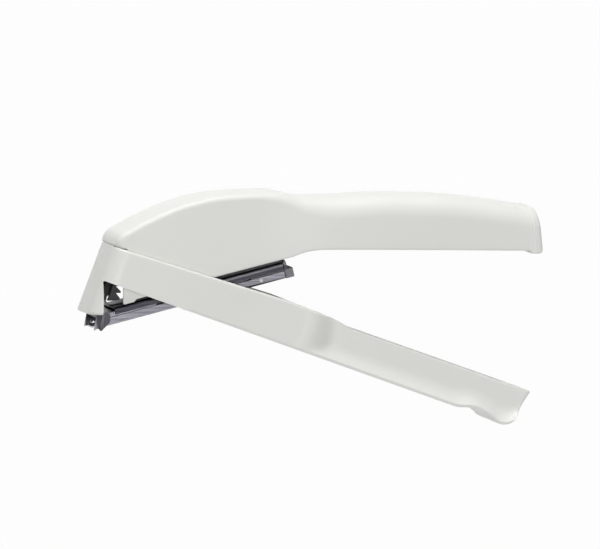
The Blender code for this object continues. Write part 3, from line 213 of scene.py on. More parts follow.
def cover_steel():
    """Dark sheet with a painted highlight along its upper bend."""
    shade = Shade("cover_steel", metallic=1.0)
    grain = shade.stretched(SHEET_GRAIN, -CARTRIDGE_ANGLE)
    streaks = shade.noise(1.0, 4, grain)
    dark = shade.ramp(streaks, (0.030, 0.028, 0.036), (0.075, 0.070, 0.085))
    # Painted highlight: a lighter copy of the sheet along the upper bend, where the bend catches the light.
    painted_highlight = shade.ramp(streaks, (0.17, 0.167, 0.185), (0.27, 0.267, 0.29))
    painted_highlight = shade.blend(shade.along(*PAINTED_HIGHLIGHT_START), dark, painted_highlight)
    highlight_height_mask = shade.ramp(shade.above_cartridge(), 0.0, 1.0, *PAINTED_HIGHLIGHT_HEIGHT)
    shade.set("Base Color", shade.blend(highlight_height_mask, dark, painted_highlight))
    shade.set("Roughness", shade.ramp(shade.noise(1.0, 3, grain), 0.30, 0.46))
    shade.bump(streaks, GRAIN_BUMP)
    return shade.material


def end_plastic():
    """The end cap: pale bands of painted highlight and a dark band of painted shade, in line with those of the
    sheets in front of it, and a black top.
    """
    shade = Shade("end_plastic")
    height = shade.above_cartridge()
    speckle = shade.noise(900, 3)
    # Painted highlight in the pale bands and painted shade in the dark band; the black top is the cap's own
    # colour.
    pale = shade.ramp(speckle, (0.17, 0.165, 0.185), (0.24, 0.235, 0.26))
    dark = shade.ramp(speckle, (0.035, 0.033, 0.042), (0.060, 0.057, 0.070))
    black = shade.ramp(speckle, (0.008, 0.008, 0.009), (0.016, 0.016, 0.018))
    tone = pale
    for band, limits in zip((dark, pale, black), CAP_BANDS):
        tone = shade.blend(shade.ramp(height, 0.0, 1.0, *limits), tone, band)
    shade.set("Base Color", tone)
    shade.set("Roughness", shade.ramp(speckle, 0.45, 0.6))
    shade.bump(speckle, SPECKLE_BUMP)
    return shade.material


def guide_steel():
    """Sheet with a painted highlight on its front end and painted shade behind it."""
    shade = Shade("guide_steel", metallic=1.0)
    streaks = shade.noise(1.0, 4, shade.stretched(GUIDE_GRAIN))
    # Lit and shaded copies of one steel: the front is painted lit and the rest is painted shade.
    painted_lit_tone = shade.ramp(streaks, (0.40, 0.40, 0.42), (0.54, 0.54, 0.56))
    painted_shade_tone = shade.ramp(streaks, (0.04, 0.038, 0.046), (0.10, 0.097, 0.112))
    shade.set("Base Color", shade.blend(shade.along(*GUIDE_PAINTED_SHADE), painted_lit_tone, painted_shade_tone))
    shade.set("Roughness", shade.ramp(streaks, 0.32, 0.5))
    shade.bump(streaks, GRAIN_BUMP)
    return shade.material


# The two white mouldings and the cartridge's two sheets are drawn again here, finer than the CAD's solids,
# from the same sizes.
FINE_STEP, RIB_STEP, FLARE_STEP = 0.7, 2.0, 0.5
SHARP_ANGLE = math.radians(32)
SAME_POINT = 0.002
ROUND_SIDES = 40

HALF_WIDTH = 11.0
WALL = 1.8
GAP = 0.3
PAST = 2.0  # how far a cutter reaches past what it cuts

# Upper handle
GRIP_REACH = 118.4
HUMP_HEIGHT = 33.2
WEDGE_HALF = 8.9
WEDGE_SEAT = 6.6
WEDGE_ROUND, GRIP_ROUND, FOOT_ROUND = 1.8, 6.5, 0.7
FLARE_START, FLARE_END = 22.0, 50.0
ROOF_FRONT, ROOF_LIP, WEDGE_FRONT, WEDGE_REAR = 24.0, 20.4, 15.2, 34.7
ROOF_FRONT_ROUND, ROOF_END_ROUND, ROOF_ROUND_SHARE = 2.6, 3.2, 0.8
ROOF_GAP = 0.12
WEDGE_FRONT_TOP = 8.5
LIP_START, LIP_STEP, LIP_DROP = 113.7, 0.9, 0.9
LIP_PROUD, RIDGE_PROUD = 0.05, 0.3
RIDGE_START, RIDGE_STEP = 116.0, 0.35
END_ROUND, END_DRAW, END_LEAN, LEAN_START = 1.4, 1.5, 1.2, 108.0
GRIP_RIBS, RIB_WALL, RIB_SETBACK, RIB_EDGE, RIB_EASE = 5, 1.2, 4.5, 0.2, 0.25
EAR_BORE, EAR_RADIUS, EAR_SIDES, EAR_FLAT, EAR_SINK = 1.75, 3.3, 32, 0.2, 0.05
POST_PLACES, POST_BORE, POST_RADIUS = (30.0, 50.2), 1.3, 2.3
CAVITY_END = 114.2
CHEEK_FRONT, CHEEK_FOOT, CHEEK_TOP, CHEEK_CORNER = -21.7, 5.75, 13.0, 0.6
CHEEK_LOW, CHEEK_HIGH, CHEEK_OVERLAP = (-18.6, -18.0), (-17.2, -12.0), 0.1
CHEEK_SECTIONS = ((0.02 - WALL, 1.3), (-0.3, 0.1), (-0.02, 0.2))  # from the wedge's side, and how far back
ROOF_SHARES = (
    (-0.206, 0.630), (-0.184, 0.664), (-0.160, 0.702), (-0.131, 0.756), (-0.084, 0.828), (-0.028, 0.904),
    (0.010, 0.940), (0.057, 0.976), (0.105, 0.994), (0.160, 1.000), (0.228, 1.000), (0.258, 0.997),
    (0.292, 0.973), (0.319, 0.947), (0.376, 0.937), (0.433, 0.934), (0.490, 0.941), (0.575, 0.940),
    (0.631, 0.928), (0.716, 0.913), (0.800, 0.875), (0.913, 0.811), (0.970, 0.776), (1.000, 0.755),
)
UNDERSIDE_SHARES = (
    (0.293, 0.380), (0.309, 0.401), (0.329, 0.423), (0.351, 0.437), (0.380, 0.443), (0.649, 0.408),
    (1.000, 0.355),
)
ROOF_LINE = [(x * GRIP_REACH, y * HUMP_HEIGHT) for x, y in ROOF_SHARES]
UNDERSIDE_LINE = [(x * GRIP_REACH, y * HUMP_HEIGHT) for x, y in UNDERSIDE_SHARES]

# Trigger lever
NOSE_REACH, NOSE_TOP_REACH = 32.6, 24.2
NOSE_FACE_HALF, BOW_DEPTH, FRONT_WALL = 4.6, 4.8, 1.0
NOSE_FLOOR = -3.6
WINDOW_FRONT, WINDOW_FOOT, WINDOW_CORNER = 27.95, 28.95, 0.8
ARM_TOP, ARM_BOTTOM = 9.9, -3.4
TOP_SLOPE, BOTTOM_SLOPE, HANDLE_SLOPE = (math.tan(math.radians(angle)) for angle in (-18.57, -20.92, -20.6))
LEVER_REACH, LEVER_END_SPAN = 115.1, 13.55
LEVER_END_HEIGHT = ARM_BOTTOM + LEVER_REACH * BOTTOM_SLOPE + LEVER_END_SPAN
EDGE_ROUND = 0.9
PAD_END, PAD_SWEEP, PAD_FADE = 41.6, 4.6, 8.5
RECESS_DEPTH, SCOOP_DEPTH, SCOOP_LENGTH = 3.0, 0.2, 12.0
LIP_THICKNESS, FLARE_HEIGHT = 1.0, 5.4
DROOP_START, DROOP, SHOULDER_START, SHOULDER_LENGTH = 33.0, 1.1, 46.5, 9.5
SCALLOP_CENTRE, SCALLOP_HALF, SCALLOP_DEPTH = 96.2, 8.0, 1.7
HOOK_TIP, HOOK_ROUND, HOOK_PROUD = 105.5, 5.0, 0.15
HOOK_DEPTH = -ARM_BOTTOM - HOOK_TIP * BOTTOM_SLOPE + HOOK_PROUD
HOOK_END, END_LEAN_REACH = 109.1, 6.0
YOKE_FLOOR_START, YOKE_END, FLOOR_WALL = 14.0, 33.0, 1.9
TROUGH_HALF, TROUGH_START, TROUGH_END = 5.9, 37.0, 105.7
TROUGH_RIBS, TROUGH_SETBACK = 5, 3.5
RIM_DIP, RIM_BACK, RIM_START, RIM_RISE = 0.16, 2.2, 8.25, 12.0
FLARE_POWER = 2.2
UPRIGHT = -13.8  # where the leaning sections of the nose have turned upright
PIVOT_SEAT, PIVOT_SEAT_DEPTH = 1.9, 1.1
DRIVE_SEAT, DRIVE_SEAT_HALF, DRIVE_X, DRIVE_RISE = 1.25, 9.6, -24.4, 2.6

# Cartridge, measured along it from its front and up from its foot
SHEET_HALF, SHEET_WALL, SHEET_END = 6.75, 0.5, 65.2
CHANNEL_START, CHANNEL_HEIGHT, CHANNEL_BEND = 3.8, 2.4, 0.9
COVER_START, COVER_HEIGHT, COVER_FOOT, COVER_BEND = 8.0, 5.2, 3.0, 1.1
ANVIL_BED = {"start": 1.8, "end": 14.3, "low": -2.0, "high": 0.65, "half": 3.2}


def smooth_share(value):
    value = min(max(value, 0.0), 1.0)
    return value * value * (3 - 2 * value)


def hump_share(value):
    return smooth_share(1 - abs(value))


def rounding(distance, radius):
    """How far a rounded edge of this radius has drawn in at a distance from the edge."""
    return radius - math.sqrt(max(radius**2 - (radius - distance) ** 2, 0)) if distance < radius else 0.0


def height_on(points, x):
    """The height at x of a smooth curve through points sorted by x."""
    if x <= points[0][0]:
        return points[0][1]
    for k in range(len(points) - 1):
        (x0, y0), (x1, y1) = points[k], points[k + 1]
        if x <= x1:
            before = points[max(k - 1, 0)]
            after = points[min(k + 2, len(points) - 1)]
            span, t = x1 - x0, (x - x0) / (x1 - x0)
            rise0 = (y1 - before[1]) / (x1 - before[0]) * span
            rise1 = (after[1] - y0) / (after[0] - x0) * span
            return (
                (2 * t**3 - 3 * t**2 + 1) * y0 + (t**3 - 2 * t**2 + t) * rise0
                + (3 * t**2 - 2 * t**3) * y1 + (t**3 - t**2) * rise1
            )
    return points[-1][1]


def cartridge_line(x, v):
    return TIP_Y + (x - TIP_X) * math.tan(CARTRIDGE_ANGLE) + v / math.cos(CARTRIDGE_ANGLE)


def spread(start, end, step=FINE_STEP):
    """Places from start to end, about a step apart."""
    count = max(round(abs(end - start) / step), 1)
    return [start + (end - start) * k / count for k in range(count + 1)]


def quarter(steps):
    """The angles of a quarter turn in equal steps."""
    return [k / steps * math.pi / 2 for k in range(steps + 1)]


def circle(radius, sides=ROUND_SIDES):
    turns = [k / sides * math.tau for k in range(sides)]
    return [(radius * math.cos(turn), radius * math.sin(turn)) for turn in turns]


def across_cartridge(u, profile):
    """A section of the cartridge at u along it, from points that say how far across and how high they are."""
    cos, sin = math.cos(CARTRIDGE_ANGLE), math.sin(CARTRIDGE_ANGLE)
    return [(TIP_X + u * cos - v * sin, TIP_Y + u * sin + v * cos, z) for z, v in profile]


def loft(name, rings, capped=True):
    """A skin through rings of equally many points. Its ends are capped, or else joined to each other."""
    shape = bmesh.new()
    rows = [[shape.verts.new(point) for point in ring] for ring in rings]
    count = len(rows[0])
    for row, after in list(zip(rows, rows[1:])) + ([] if capped else [(rows[-1], rows[0])]):
        for i in range(count):
            j = (i + 1) % count
            shape.faces.new((row[i], row[j], after[j], after[i]))
    if capped:
        shape.faces.new(rows[0])
        shape.faces.new(reversed(rows[-1]))
    bmesh.ops.remove_doubles(shape, verts=shape.verts, dist=SAME_POINT)
    bmesh.ops.recalc_face_normals(shape, faces=shape.faces)
    mesh = bpy.data.meshes.new(name)
    shape.to_mesh(mesh)
    shape.free()
    thing = bpy.data.objects.new(name, mesh)
    bpy.context.scene.collection.objects.link(thing)
    return thing


def slab(name, outline, low, high):
    """An outline in the side view, made solid from low to high across it."""
    return loft(name, [[(x, y, z) for x, y in outline] for z in (low, high)])


def bar(name, radius, low, high, place=(0, 0)):
    return slab(name, [(place[0] + x, place[1] + y) for x, y in circle(radius)], low, high)


def tube(name, inner, outer, low, high, place):
    """A round tube that stands square to the cartridge, at a place along it."""
    up = Vector((-math.sin(CARTRIDGE_ANGLE), math.cos(CARTRIDGE_ANGLE), 0))
    along = Vector((math.cos(CARTRIDGE_ANGLE), math.sin(CARTRIDGE_ANGLE), 0))
    foot = Vector((TIP_X, TIP_Y, 0)) + along * place
    rings = []
    for radius, height in ((inner, low), (outer, low), (outer, high), (inner, high)):
        middle = foot + up * height
        rings.append([middle + (along * x + Vector((0, 0, z))) * radius for x, z in circle(1)])
    return loft(name, rings, capped=False)


def carve(thing, cutters):
    """Cuts every cutter out of a piece for good."""
    for cutter in cutters:
        step = thing.modifiers.new(cutter.name, "BOOLEAN")
        step.operation = "DIFFERENCE"
        step.solver = "EXACT"
        step.object = cutter
    bpy.context.view_layer.update()
    mesh = bpy.data.meshes.new_from_object(thing.evaluated_get(bpy.context.evaluated_depsgraph_get()))
    thing.modifiers.clear()
    thing.data = mesh
    for cutter in cutters:
        bpy.data.objects.remove(cutter)
    return thing


def join(name, things):
    shape = bmesh.new()
    for thing in things:
        shape.from_mesh(thing.data)
    mesh = bpy.data.meshes.new(name)
    shape.to_mesh(mesh)
    shape.free()
    for thing in things:
        bpy.data.objects.remove(thing)
    thing = bpy.data.objects.new(name, mesh)
    bpy.context.scene.collection.objects.link(thing)
    return thing


def stand_for(thing, node, body):
    """Brings a finished piece to its place and size in the model, with smooth shading."""
    thing.data.transform(Matrix.Translation(PIVOT) @ Matrix.Scale(MM, 4))
    thing.data.shade_smooth()
    thing.data.set_sharp_from_angle(angle=SHARP_ANGLE)
    thing.modifiers.new("normals", "WEIGHTED_NORMAL").keep_sharp = True
    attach(thing, body)
    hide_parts(node)
    return thing


def handle_underside(x):
    if x < -ROOF_LIP:
        return lever_top(x) + ROOF_GAP
    if x < -WEDGE_FRONT:
        rise = (-WEDGE_FRONT - x) / (ROOF_LIP - WEDGE_FRONT)
        return WEDGE_FRONT_TOP + rise * (lever_top(-ROOF_LIP) + ROOF_GAP - WEDGE_FRONT_TOP)
    if x < WEDGE_REAR:
        return cartridge_line(x, WEDGE_SEAT)
    return height_on(UNDERSIDE_LINE, x)


def flare_share(x):
    """0 along the wedge, and 1 where the grip has its full width."""
    return smooth_share((x - FLARE_START) / (FLARE_END - FLARE_START))


def handle_half(x):
    half = WEDGE_HALF + (HALF_WIDTH - RIDGE_PROUD - WEDGE_HALF) * flare_share(x)
    return half - rounding(max(x + ROOF_FRONT, 0), ROOF_FRONT_ROUND)


def handle_path(x, inset, proud=0.0, lift=0.0, floor=False):
    """Half a section, as heights and widths: from the foot up the side and over the shoulder to the crown."""
    half = handle_half(x) - inset + proud
    top = height_on(ROOF_LINE, x) - inset + proud
    bottom = handle_underside(x) + lift
    top -= min(rounding(max(x + ROOF_FRONT, 0), ROOF_END_ROUND), ROOF_ROUND_SHARE * (top - bottom))
    corner = WEDGE_ROUND + (GRIP_ROUND - WEDGE_ROUND) * flare_share(x) - inset
    corner = min(max(corner, FOOT_ROUND), (top - bottom) / 2)
    foot = 0 if inset else min(FOOT_ROUND, (top - bottom) / 4)
    path = []
    for turn in quarter(4):
        path.append((bottom + foot - foot * math.cos(turn), half - foot + foot * math.sin(turn)))
    for k in range(1, 6):
        path.append((bottom + foot + (top - corner - bottom - foot) * k / 6, half))
    for turn in quarter(14):
        path.append((top - corner + corner * math.sin(turn), half - corner + corner * math.cos(turn)))
    for k in range(1, 5):
        path.append((top, (half - corner) * (1 - k / 4)))
    return [(bottom if floor else y, z) for y, z in path]


def handle_ring(x, solid=False, proud=0.0, lift=0.0):
    """A section of the shell: round the outside, and back round the hollow where the handle has one."""
    outer = handle_path(x, 0, proud, lift)
    inner = handle_path(min(x, CAVITY_END), WALL, 0, 0, solid)
    lean = END_LEAN * smooth_share((x - LEAN_START) / (LIP_START - LEAN_START))
    low, high = outer[0][0], outer[-1][0]
    if solid:
        half = min(inner[0][1], outer[0][1] - GAP)
        inner = [(low, z / inner[0][1] * half) for y, z in inner]
    ring = outer + [(y, -z) for y, z in reversed(outer[:-1])]
    ring += [(y, -z) for y, z in inner] + inner[-2::-1]
    return [(x - lean * (y - low) / (high - low), y, z) for y, z in ring]


def handle_shell():
    rings = []
    for turn in quarter(8):
        rings.append(handle_ring(-ROOF_FRONT + ROOF_FRONT_ROUND * (1 - math.cos(turn)), solid=True))
    rings += [handle_ring(x, solid=True) for x in spread(-ROOF_FRONT + ROOF_FRONT_ROUND, -ROOF_LIP)[1:]]
    places = spread(-ROOF_LIP, -WEDGE_FRONT)
    places += spread(-WEDGE_FRONT, WEDGE_REAR)[1:] + spread(WEDGE_REAR, LIP_START)[1:]
    rings += [handle_ring(x) for x in places]
    for k in range(1, 6):
        share = k / 5
        proud, lift = smooth_share(share) * LIP_PROUD, -smooth_share(share) * LIP_DROP
        x = LIP_START + share * LIP_STEP
        rings.append(handle_ring(x, x > CAVITY_END, proud, lift))
    for k in range(6):
        proud = LIP_PROUD + (RIDGE_PROUD - LIP_PROUD) * smooth_share(k / 5)
        rings.append(handle_ring(RIDGE_START + k / 5 * RIDGE_STEP, True, proud, -LIP_DROP))
    for turn in quarter(9)[1:]:
        x = GRIP_REACH - END_ROUND + END_ROUND * math.sin(turn)
        back = END_DRAW * (1 - math.cos(turn))
        rings.append(handle_ring(x, True, RIDGE_PROUD - back, back - LIP_DROP))
    return loft("shell", rings)


def handle_ribs():
    """Cross ribs in the hollow of the grip, with their edges eased."""
    ribs = []
    step = (CAVITY_END - (FLARE_START + WALL + RIB_WALL) + RIB_WALL) / GRIP_RIBS
    for k in range(GRIP_RIBS):
        x = FLARE_START + WALL + k * step
        end = x + RIB_WALL
        rings = []
        for place, inset in ((x, RIB_EASE), (x + RIB_EDGE, 0), (end - RIB_EDGE, 0), (end, RIB_EASE)):
            low = handle_underside(place) + RIB_SETBACK + inset
            path = [(max(y, low), z) for y, z in handle_path(place, WALL - GAP)]
            rings.append([(place, y, z) for y, z in path] + [(place, y, -z) for y, z in reversed(path[:-1])])
        ribs.append(loft("rib", rings))
    return ribs


def handle_ears():
    """The two bores for the pivot pins, in ears that reach down from the wedge's sides."""
    hole = circle(EAR_BORE, EAR_SIDES)
    rim = []
    for x, y in circle(EAR_RADIUS, EAR_SIDES):
        rim.append((x, cartridge_line(x, WEDGE_SEAT) + WALL if y > EAR_FLAT else y))
    ears = []
    for side in (1, -1):
        low, high = side * (WEDGE_HALF - WALL + EAR_SINK), side * (WEDGE_HALF - EAR_SINK)
        sections = ((hole, low), (rim, low), (rim, high), (hole, high))
        ears.append(loft("ear", [[(x, y, z) for x, y in line] for line, z in sections], capped=False))
    return ears


def handle_posts():
    """The posts that the rail's screws go into, up to the roof."""
    posts = []
    for place in POST_PLACES:
        x = TIP_X + place * math.cos(CARTRIDGE_ANGLE)
        foot = TIP_Y + place * math.sin(CARTRIDGE_ANGLE)
        lean = (height_on(ROOF_LINE, x) - foot) * math.tan(CARTRIDGE_ANGLE)
        top = (height_on(ROOF_LINE, x - lean) - WALL / 2 - foot) / math.cos(CARTRIDGE_ANGLE)
        posts.append(tube("post", POST_BORE, POST_RADIUS, WEDGE_SEAT, top, place))
    return posts


def handle_cheek():
    """The near wall of the wedge carried forward beside the cartridge, as it shows in the nose's window."""
    rings = []
    for side, back in CHEEK_SECTIONS:
        front = CHEEK_FRONT + back
        foot = CHEEK_FOOT + back / 4
        line = [(front + CHEEK_CORNER, CHEEK_TOP), (front, CHEEK_TOP - CHEEK_CORNER)]
        for turn in quarter(6):
            x = front + CHEEK_CORNER * (1 - math.cos(turn))
            line.append((x, cartridge_line(x, foot) + CHEEK_CORNER * (1 - math.sin(turn))))
        line += [(x, cartridge_line(x, foot)) for x in CHEEK_LOW]
        line += [(x, cartridge_line(x, WEDGE_SEAT - CHEEK_OVERLAP)) for x in CHEEK_HIGH]
        rings.append([(x, y, WEDGE_HALF + side) for x, y in line + [(CHEEK_HIGH[1], CHEEK_TOP)]])
    return loft("cheek", rings)


def make_handle():
    pieces = [handle_shell(), *handle_ribs(), *handle_ears(), *handle_posts(), handle_cheek()]
    return stand_for(join("upper_handle_shell", pieces), "upper_handle", "body")


def lever_top(x):
    arm = ARM_TOP + x * TOP_SLOPE
    grip = LEVER_END_HEIGHT + (x - LEVER_REACH) * HANDLE_SLOPE
    arm -= DROOP * max(0, min(1, (x - DROOP_START) / (SHOULDER_START - DROOP_START)))
    return arm + (grip - arm) * smooth_share((x - SHOULDER_START) / SHOULDER_LENGTH)


def arm_bottom(x):
    return ARM_BOTTOM + x * BOTTOM_SLOPE


def lever_bottom(x):
    line = min(arm_bottom(x), NOSE_FLOOR) + SCALLOP_DEPTH * hump_share((x - SCALLOP_CENTRE) / SCALLOP_HALF)
    if abs(x - HOOK_TIP) < HOOK_ROUND:
        hook = -HOOK_DEPTH + HOOK_ROUND - math.sqrt(HOOK_ROUND**2 - (x - HOOK_TIP) ** 2)
        line = min(line, hook) if x < HOOK_TIP else hook
    return line


def lever_half(x, below, above, full):
    """Half the lever's thickness: the arm's pad with its raised rim, the recess behind it, and round edges."""
    y_share = below / (below + above) if below + above > 0 else 0
    edge = PAD_END - PAD_SWEEP * (1 - y_share) ** 2
    inward = smooth_share((x - edge) / PAD_FADE)
    flare = 1 - (1 - min(max((below - LIP_THICKNESS) / FLARE_HEIGHT, 0), 1)) ** FLARE_POWER
    scoop = hump_share((x - edge - SCOOP_LENGTH / 2) / (SCOOP_LENGTH / 2)) * SCOOP_DEPTH
    dip = RIM_DIP * smooth_share((edge - RIM_BACK / 2 - x) / RIM_BACK)
    dip *= smooth_share((x - RIM_START) / RIM_RISE)
    half = full - inward * flare * (RECESS_DEPTH + scoop) - dip
    return half - rounding(below, EDGE_ROUND) - rounding(above, EDGE_ROUND)


def lever_ring(x_low, x_high, full=HALF_WIDTH):
    low, high = Vector((x_low, lever_bottom(x_low))), Vector((x_high, lever_top(x_high)))
    height = (high - low).length
    turned = [EDGE_ROUND * (1 - math.cos(turn)) for turn in quarter(6)]
    steps = turned + spread(LIP_THICKNESS, LIP_THICKNESS + FLARE_HEIGHT, FLARE_STEP)
    steps += spread(steps[-1], height - EDGE_ROUND, (height - EDGE_ROUND - steps[-1]) / 6)[1:-1]
    steps += [height - step for step in reversed(turned)]
    side = []
    for below in steps:
        x, y = low + (high - low) * (below / height)
        side.append((x, y, lever_half(x, below, height - below, full)))
    return side + [(x, y, -z) for x, y, z in reversed(side)]


def bow_half(share):
    """Half the nose's width, from its flat face at a share of 0 to the lever's full width at 1."""
    return NOSE_FACE_HALF + (HALF_WIDTH - NOSE_FACE_HALF) * math.sqrt(1 - (1 - share) ** 2)


def gate(x, floor, ceiling, half):
    """A section of a cutter: a plain rectangle across the lever."""
    return [(x, floor, half), (x, ceiling, half), (x, ceiling, -half), (x, floor, -half)]


def lever_cutters():
    """What is cut out of the lever: window, nose hollow, yoke, trough and the seats of the pins."""
    meet = (NOSE_FLOOR - ARM_BOTTOM) / BOTTOM_SLOPE
    outline = [(-WINDOW_FOOT, NOSE_FLOOR - PAST)]
    for turn in quarter(6):
        x = -WINDOW_FRONT + WINDOW_CORNER * (1 - math.cos(turn))
        outline.append((x, arm_bottom(x) - WINDOW_CORNER * (1 - math.sin(turn))))
    outline += [(meet + PAST, arm_bottom(meet + PAST)), (meet + PAST, NOSE_FLOOR - 2 * PAST)]
    cutters = [slab("window", outline, side * NOSE_FACE_HALF, side * (HALF_WIDTH + PAST)) for side in (1, -1)]

    inner = HALF_WIDTH - WALL
    lean = (NOSE_REACH - NOSE_TOP_REACH) / (lever_top(-NOSE_TOP_REACH) - NOSE_FLOOR)
    low, high = NOSE_FLOOR - PAST, ARM_TOP + NOSE_REACH
    rings = []
    for turn in quarter(12):
        share = 1 - math.cos(turn)
        back = FRONT_WALL + share * (BOW_DEPTH - FRONT_WALL)
        half = bow_half(share) - FRONT_WALL - share * (WALL - FRONT_WALL)
        x_low, x_high = (-NOSE_REACH + back + (y - NOSE_FLOOR) * lean for y in (low, high))
        rings.append([(x_low, low, half), (x_high, high, half), (x_high, high, -half), (x_low, low, -half)])
    front_end = YOKE_FLOOR_START - PAST
    rings += [gate(0, low, high, inner), gate(front_end, lever_bottom(front_end) - PAST, high, inner)]
    cutters.append(loft("yoke_front", rings))
    inner -= GAP / 2
    ends = (front_end - PAST, YOKE_FLOOR_START)
    cutters.append(loft("yoke_low", [gate(x, lever_bottom(x) - PAST, high, inner) for x in ends]))
    ends = (YOKE_FLOOR_START, YOKE_END)
    cutters.append(loft("yoke_rear", [gate(x, lever_bottom(x) + FLOOR_WALL, high, inner) for x in ends]))

    step = (TROUGH_END - TROUGH_START + RIB_WALL) / TROUGH_RIBS
    for k in range(TROUGH_RIBS):
        start = TROUGH_START + k * step
        places = spread(start, start + step - RIB_WALL, RIB_STEP)
        rings = [gate(x, lever_bottom(x) + FLOOR_WALL, lever_top(x) + PAST, TROUGH_HALF) for x in places]
        cutters.append(loft("trough", rings))
    places = spread(TROUGH_START + GAP / 2, TROUGH_END - GAP / 2, RIB_STEP)
    half = TROUGH_HALF - GAP / 2
    rings = [gate(x, lever_top(x) - TROUGH_SETBACK, lever_top(x) + PAST, half) for x in places]
    cutters.append(loft("trough_upper", rings))
    seat = HALF_WIDTH - WALL + PIVOT_SEAT_DEPTH
    cutters.append(bar("pivot_seat", PIVOT_SEAT, -seat, seat))
    place = (DRIVE_X, arm_bottom(DRIVE_X) + DRIVE_RISE)
    cutters.append(bar("drive_seat", DRIVE_SEAT, -DRIVE_SEAT_HALF, DRIVE_SEAT_HALF, place))
    return cutters


def end_lean(x):
    """How far the top of a section near the lever's end lies behind its foot."""
    return (x - SCALLOP_CENTRE) / (HOOK_END - SCALLOP_CENTRE) * END_LEAN_REACH


def make_lever():
    rings = []
    for turn in quarter(16):
        share = 1 - math.cos(turn)
        back = share * BOW_DEPTH
        rings.append(lever_ring(-NOSE_REACH + back, -NOSE_TOP_REACH + back, bow_half(share)))
    low, high = -NOSE_REACH + BOW_DEPTH, -NOSE_TOP_REACH + BOW_DEPTH
    for k in range(1, 13):
        share = k / 12
        rings.append(lever_ring(low + (UPRIGHT - low) * share, high + (UPRIGHT - high) * share))
    for x in spread(UPRIGHT, HOOK_END - EDGE_ROUND)[1:]:
        rings.append(lever_ring(x, x + max(0, end_lean(x))))
    for turn in quarter(6)[1:]:
        back = EDGE_ROUND * (1 - math.sin(turn))
        x = HOOK_END - back
        rings.append(lever_ring(x, x + end_lean(x), HALF_WIDTH - rounding(back, EDGE_ROUND)))
    lever = carve(loft("trigger_lever_shell", rings), lever_cutters())
    return stand_for(lever, "trigger_lever", "lever")


def bent_sheet(name, start, low, high, bend):
    """A sheet along the cartridge with two round bends: low is its closed side and high its open one."""
    sign = 1 if high > low else -1
    outer, inner = [], []
    for turn in quarter(8):
        for path, radius in ((outer, bend), (inner, bend - SHEET_WALL)):
            z = SHEET_HALF - bend + radius * math.cos(turn)
            path.append((z, low + sign * (bend - radius * math.sin(turn))))
    profile = [(SHEET_HALF, high)] + outer + [(-z, v) for z, v in reversed(outer)] + [(-SHEET_HALF, high)]
    profile += [(-SHEET_HALF + SHEET_WALL, high)] + [(-z, v) for z, v in inner] + inner[::-1]
    profile += [(SHEET_HALF - SHEET_WALL, high)]
    return loft(name, [across_cartridge(u, profile) for u in (start, SHEET_END)])


def block(name, start, end, low, high, half):
    """A box along the cartridge."""
    profile = [(half, low), (half, high), (-half, high), (-half, low)]
    return loft(name, [across_cartridge(u, profile) for u in (start, end)])


def make_sheets():
    """The cartridge's two bent sheets; the lower one leaves room for the anvil."""
    channel = bent_sheet("cartridge_channel_sheet", CHANNEL_START, 0, CHANNEL_HEIGHT, CHANNEL_BEND)
    carve(channel, [block("anvil_bed", **ANVIL_BED)])
    cover = bent_sheet("cartridge_cover_sheet", COVER_START, COVER_HEIGHT, COVER_FOOT, COVER_BEND)
    return (
        stand_for(channel, "cartridge_channel", "body"),
        stand_for(cover, "cartridge_cover", "body"),
    )


def dress():
    white = white_plastic()
    black = black_plastic("black_plastic", (0.004, 0.004, 0.005), (0.011, 0.011, 0.013))
    rail = black_plastic("rail_plastic", (0.034, 0.033, 0.040), (0.060, 0.058, 0.070))
    sheet = steel("steel_sheet", (0.16, 0.157, 0.18), (0.29, 0.287, 0.32))
    dark = cover_steel()
    bright = steel("bright_steel", (0.36, 0.36, 0.38), (0.50, 0.50, 0.52))
    shaded = steel("shaded_sheet", (0.05, 0.048, 0.057), (0.12, 0.117, 0.135), low=0.3, high=0.46)
    finish = {
        "upper_handle": white, "trigger_lever": white,
        "former_carrier": black, "handle_rail": rail, "spring_clip": black, "staple_pusher": black,
        "cartridge_end_cap": end_plastic(),
        "cartridge_channel": sheet, "cartridge_cover": dark, "nose_guide": guide_steel(),
        "anvil_plate": bright, "end_pin": bright,
        "return_spring": shaded, "former_plate": shaded,
    }
    for name, node in NODES.items():
        for slot in node.material_slots:
            slot.material = finish.get(name, sheet)
    channel, cover = make_sheets()
    for piece, material in ((make_handle(), white), (make_lever(), white), (channel, sheet), (cover, dark)):
        piece.data.materials.clear()
        piece.data.materials.append(material)


# Floor and light
FLOOR_SIZE, FLOOR_DEPTH = 6, 0.0002
FLOOR_GREY, FLOOR_ROUGHNESS, FLOOR_GLOW = 0.6, 0.9, 0.97
WORLD_AHEAD, WORLD_SIDE = 0.46, 0.10
LAMPS = (  # each with its place and diameter in metres and its power in watts
    ("key", (-0.12, 1.22, 0.22), 0.7, 11.2),
    ("fill", (-0.2, 0.1, 1.13), 0.9, 4.6),
    ("lift", (0.1, -1.1, 0.5), 0.9, 3.2),
)


def background_rays(nodes, links):
    """1 for the rays that show the background: the camera's, and those by way of gloss or glass."""
    path = nodes.new("ShaderNodeLightPath")
    seen = path.outputs["Is Camera Ray"]
    for kind in ("Is Glossy Ray", "Is Transmission Ray"):
        either = nodes.new("ShaderNodeMath")
        either.operation = "MAXIMUM"
        links.new(seen, either.inputs[0])
        links.new(path.outputs[kind], either.inputs[1])
        seen = either.outputs[0]
    return seen


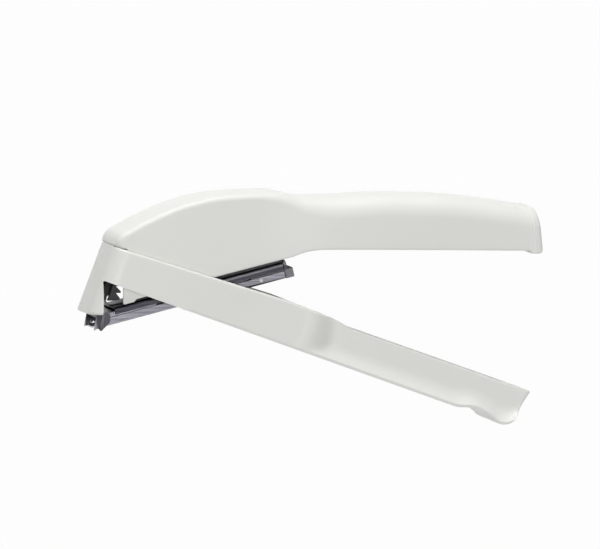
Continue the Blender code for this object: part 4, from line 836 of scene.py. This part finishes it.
def make_floor():
    bpy.ops.mesh.primitive_plane_add(size=FLOOR_SIZE, location=(0, 0, -FLOOR_DEPTH))
    floor = bpy.context.object
    floor.name = "floor"
    material = bpy.data.materials.new("floor")
    material.use_nodes = True
    nodes, links = material.node_tree.nodes, material.node_tree.links
    shader = nodes["Principled BSDF"]
    shader.inputs["Base Color"].default_value = (FLOOR_GREY, FLOOR_GREY, FLOOR_GREY, 1)
    shader.inputs["Roughness"].default_value = FLOOR_ROUGHNESS
    glow = nodes.new("ShaderNodeEmission")
    glow.inputs["Color"].default_value = (1, 1, 1, 1)
    glow.inputs["Strength"].default_value = 1.0
    share = nodes.new("ShaderNodeMath")
    share.operation = "MULTIPLY"
    share.inputs[1].default_value = FLOOR_GLOW
    links.new(background_rays(nodes, links), share.inputs[0])
    mix = nodes.new("ShaderNodeMixShader")
    links.new(share.outputs[0], mix.inputs["Fac"])
    links.new(shader.outputs[0], mix.inputs[1])
    links.new(glow.outputs[0], mix.inputs[2])
    links.new(mix.outputs[0], nodes["Material Output"].inputs["Surface"])
    floor.data.materials.append(material)


def make_lamp(name, place, size, power):
    data = bpy.data.lights.new(name, "AREA")
    data.shape = "DISK"
    data.size = size
    data.energy = power
    lamp = bpy.data.objects.new(name, data)
    bpy.context.scene.collection.objects.link(lamp)
    lamp.location = place
    lamp.rotation_euler = (-Vector(place)).to_track_quat("-Z", "Y").to_euler()


def make_light():
    """Lamps, and a white world whose light on the stapler is weaker from the left and the right."""
    world = bpy.data.worlds.new("studio")
    bpy.context.scene.world = world
    world.use_nodes = True
    nodes, links = world.node_tree.nodes, world.node_tree.links
    ground = nodes["Background"]
    ground.inputs["Color"].default_value = (1, 1, 1, 1)
    strength = nodes.new("ShaderNodeMapRange")
    way = nodes.new("ShaderNodeSeparateXYZ")
    links.new(nodes.new("ShaderNodeTexCoord").outputs["Generated"], way.inputs[0])
    sideways = nodes.new("ShaderNodeMath")
    sideways.operation = "ABSOLUTE"
    links.new(way.outputs["X"], sideways.inputs[0])
    dim = nodes.new("ShaderNodeMapRange")
    dim.inputs["To Min"].default_value = WORLD_AHEAD
    dim.inputs["To Max"].default_value = WORLD_SIDE
    links.new(sideways.outputs[0], dim.inputs["Value"])
    links.new(dim.outputs["Result"], strength.inputs["To Min"])
    strength.inputs["To Max"].default_value = 1.0
    links.new(background_rays(nodes, links), strength.inputs["Value"])
    links.new(strength.outputs["Result"], ground.inputs["Strength"])
    for lamp in LAMPS:
        make_lamp(*lamp)


make_camera()
dress()
make_floor()
make_light()
bpy.context.scene.view_settings.view_transform = "Standard"
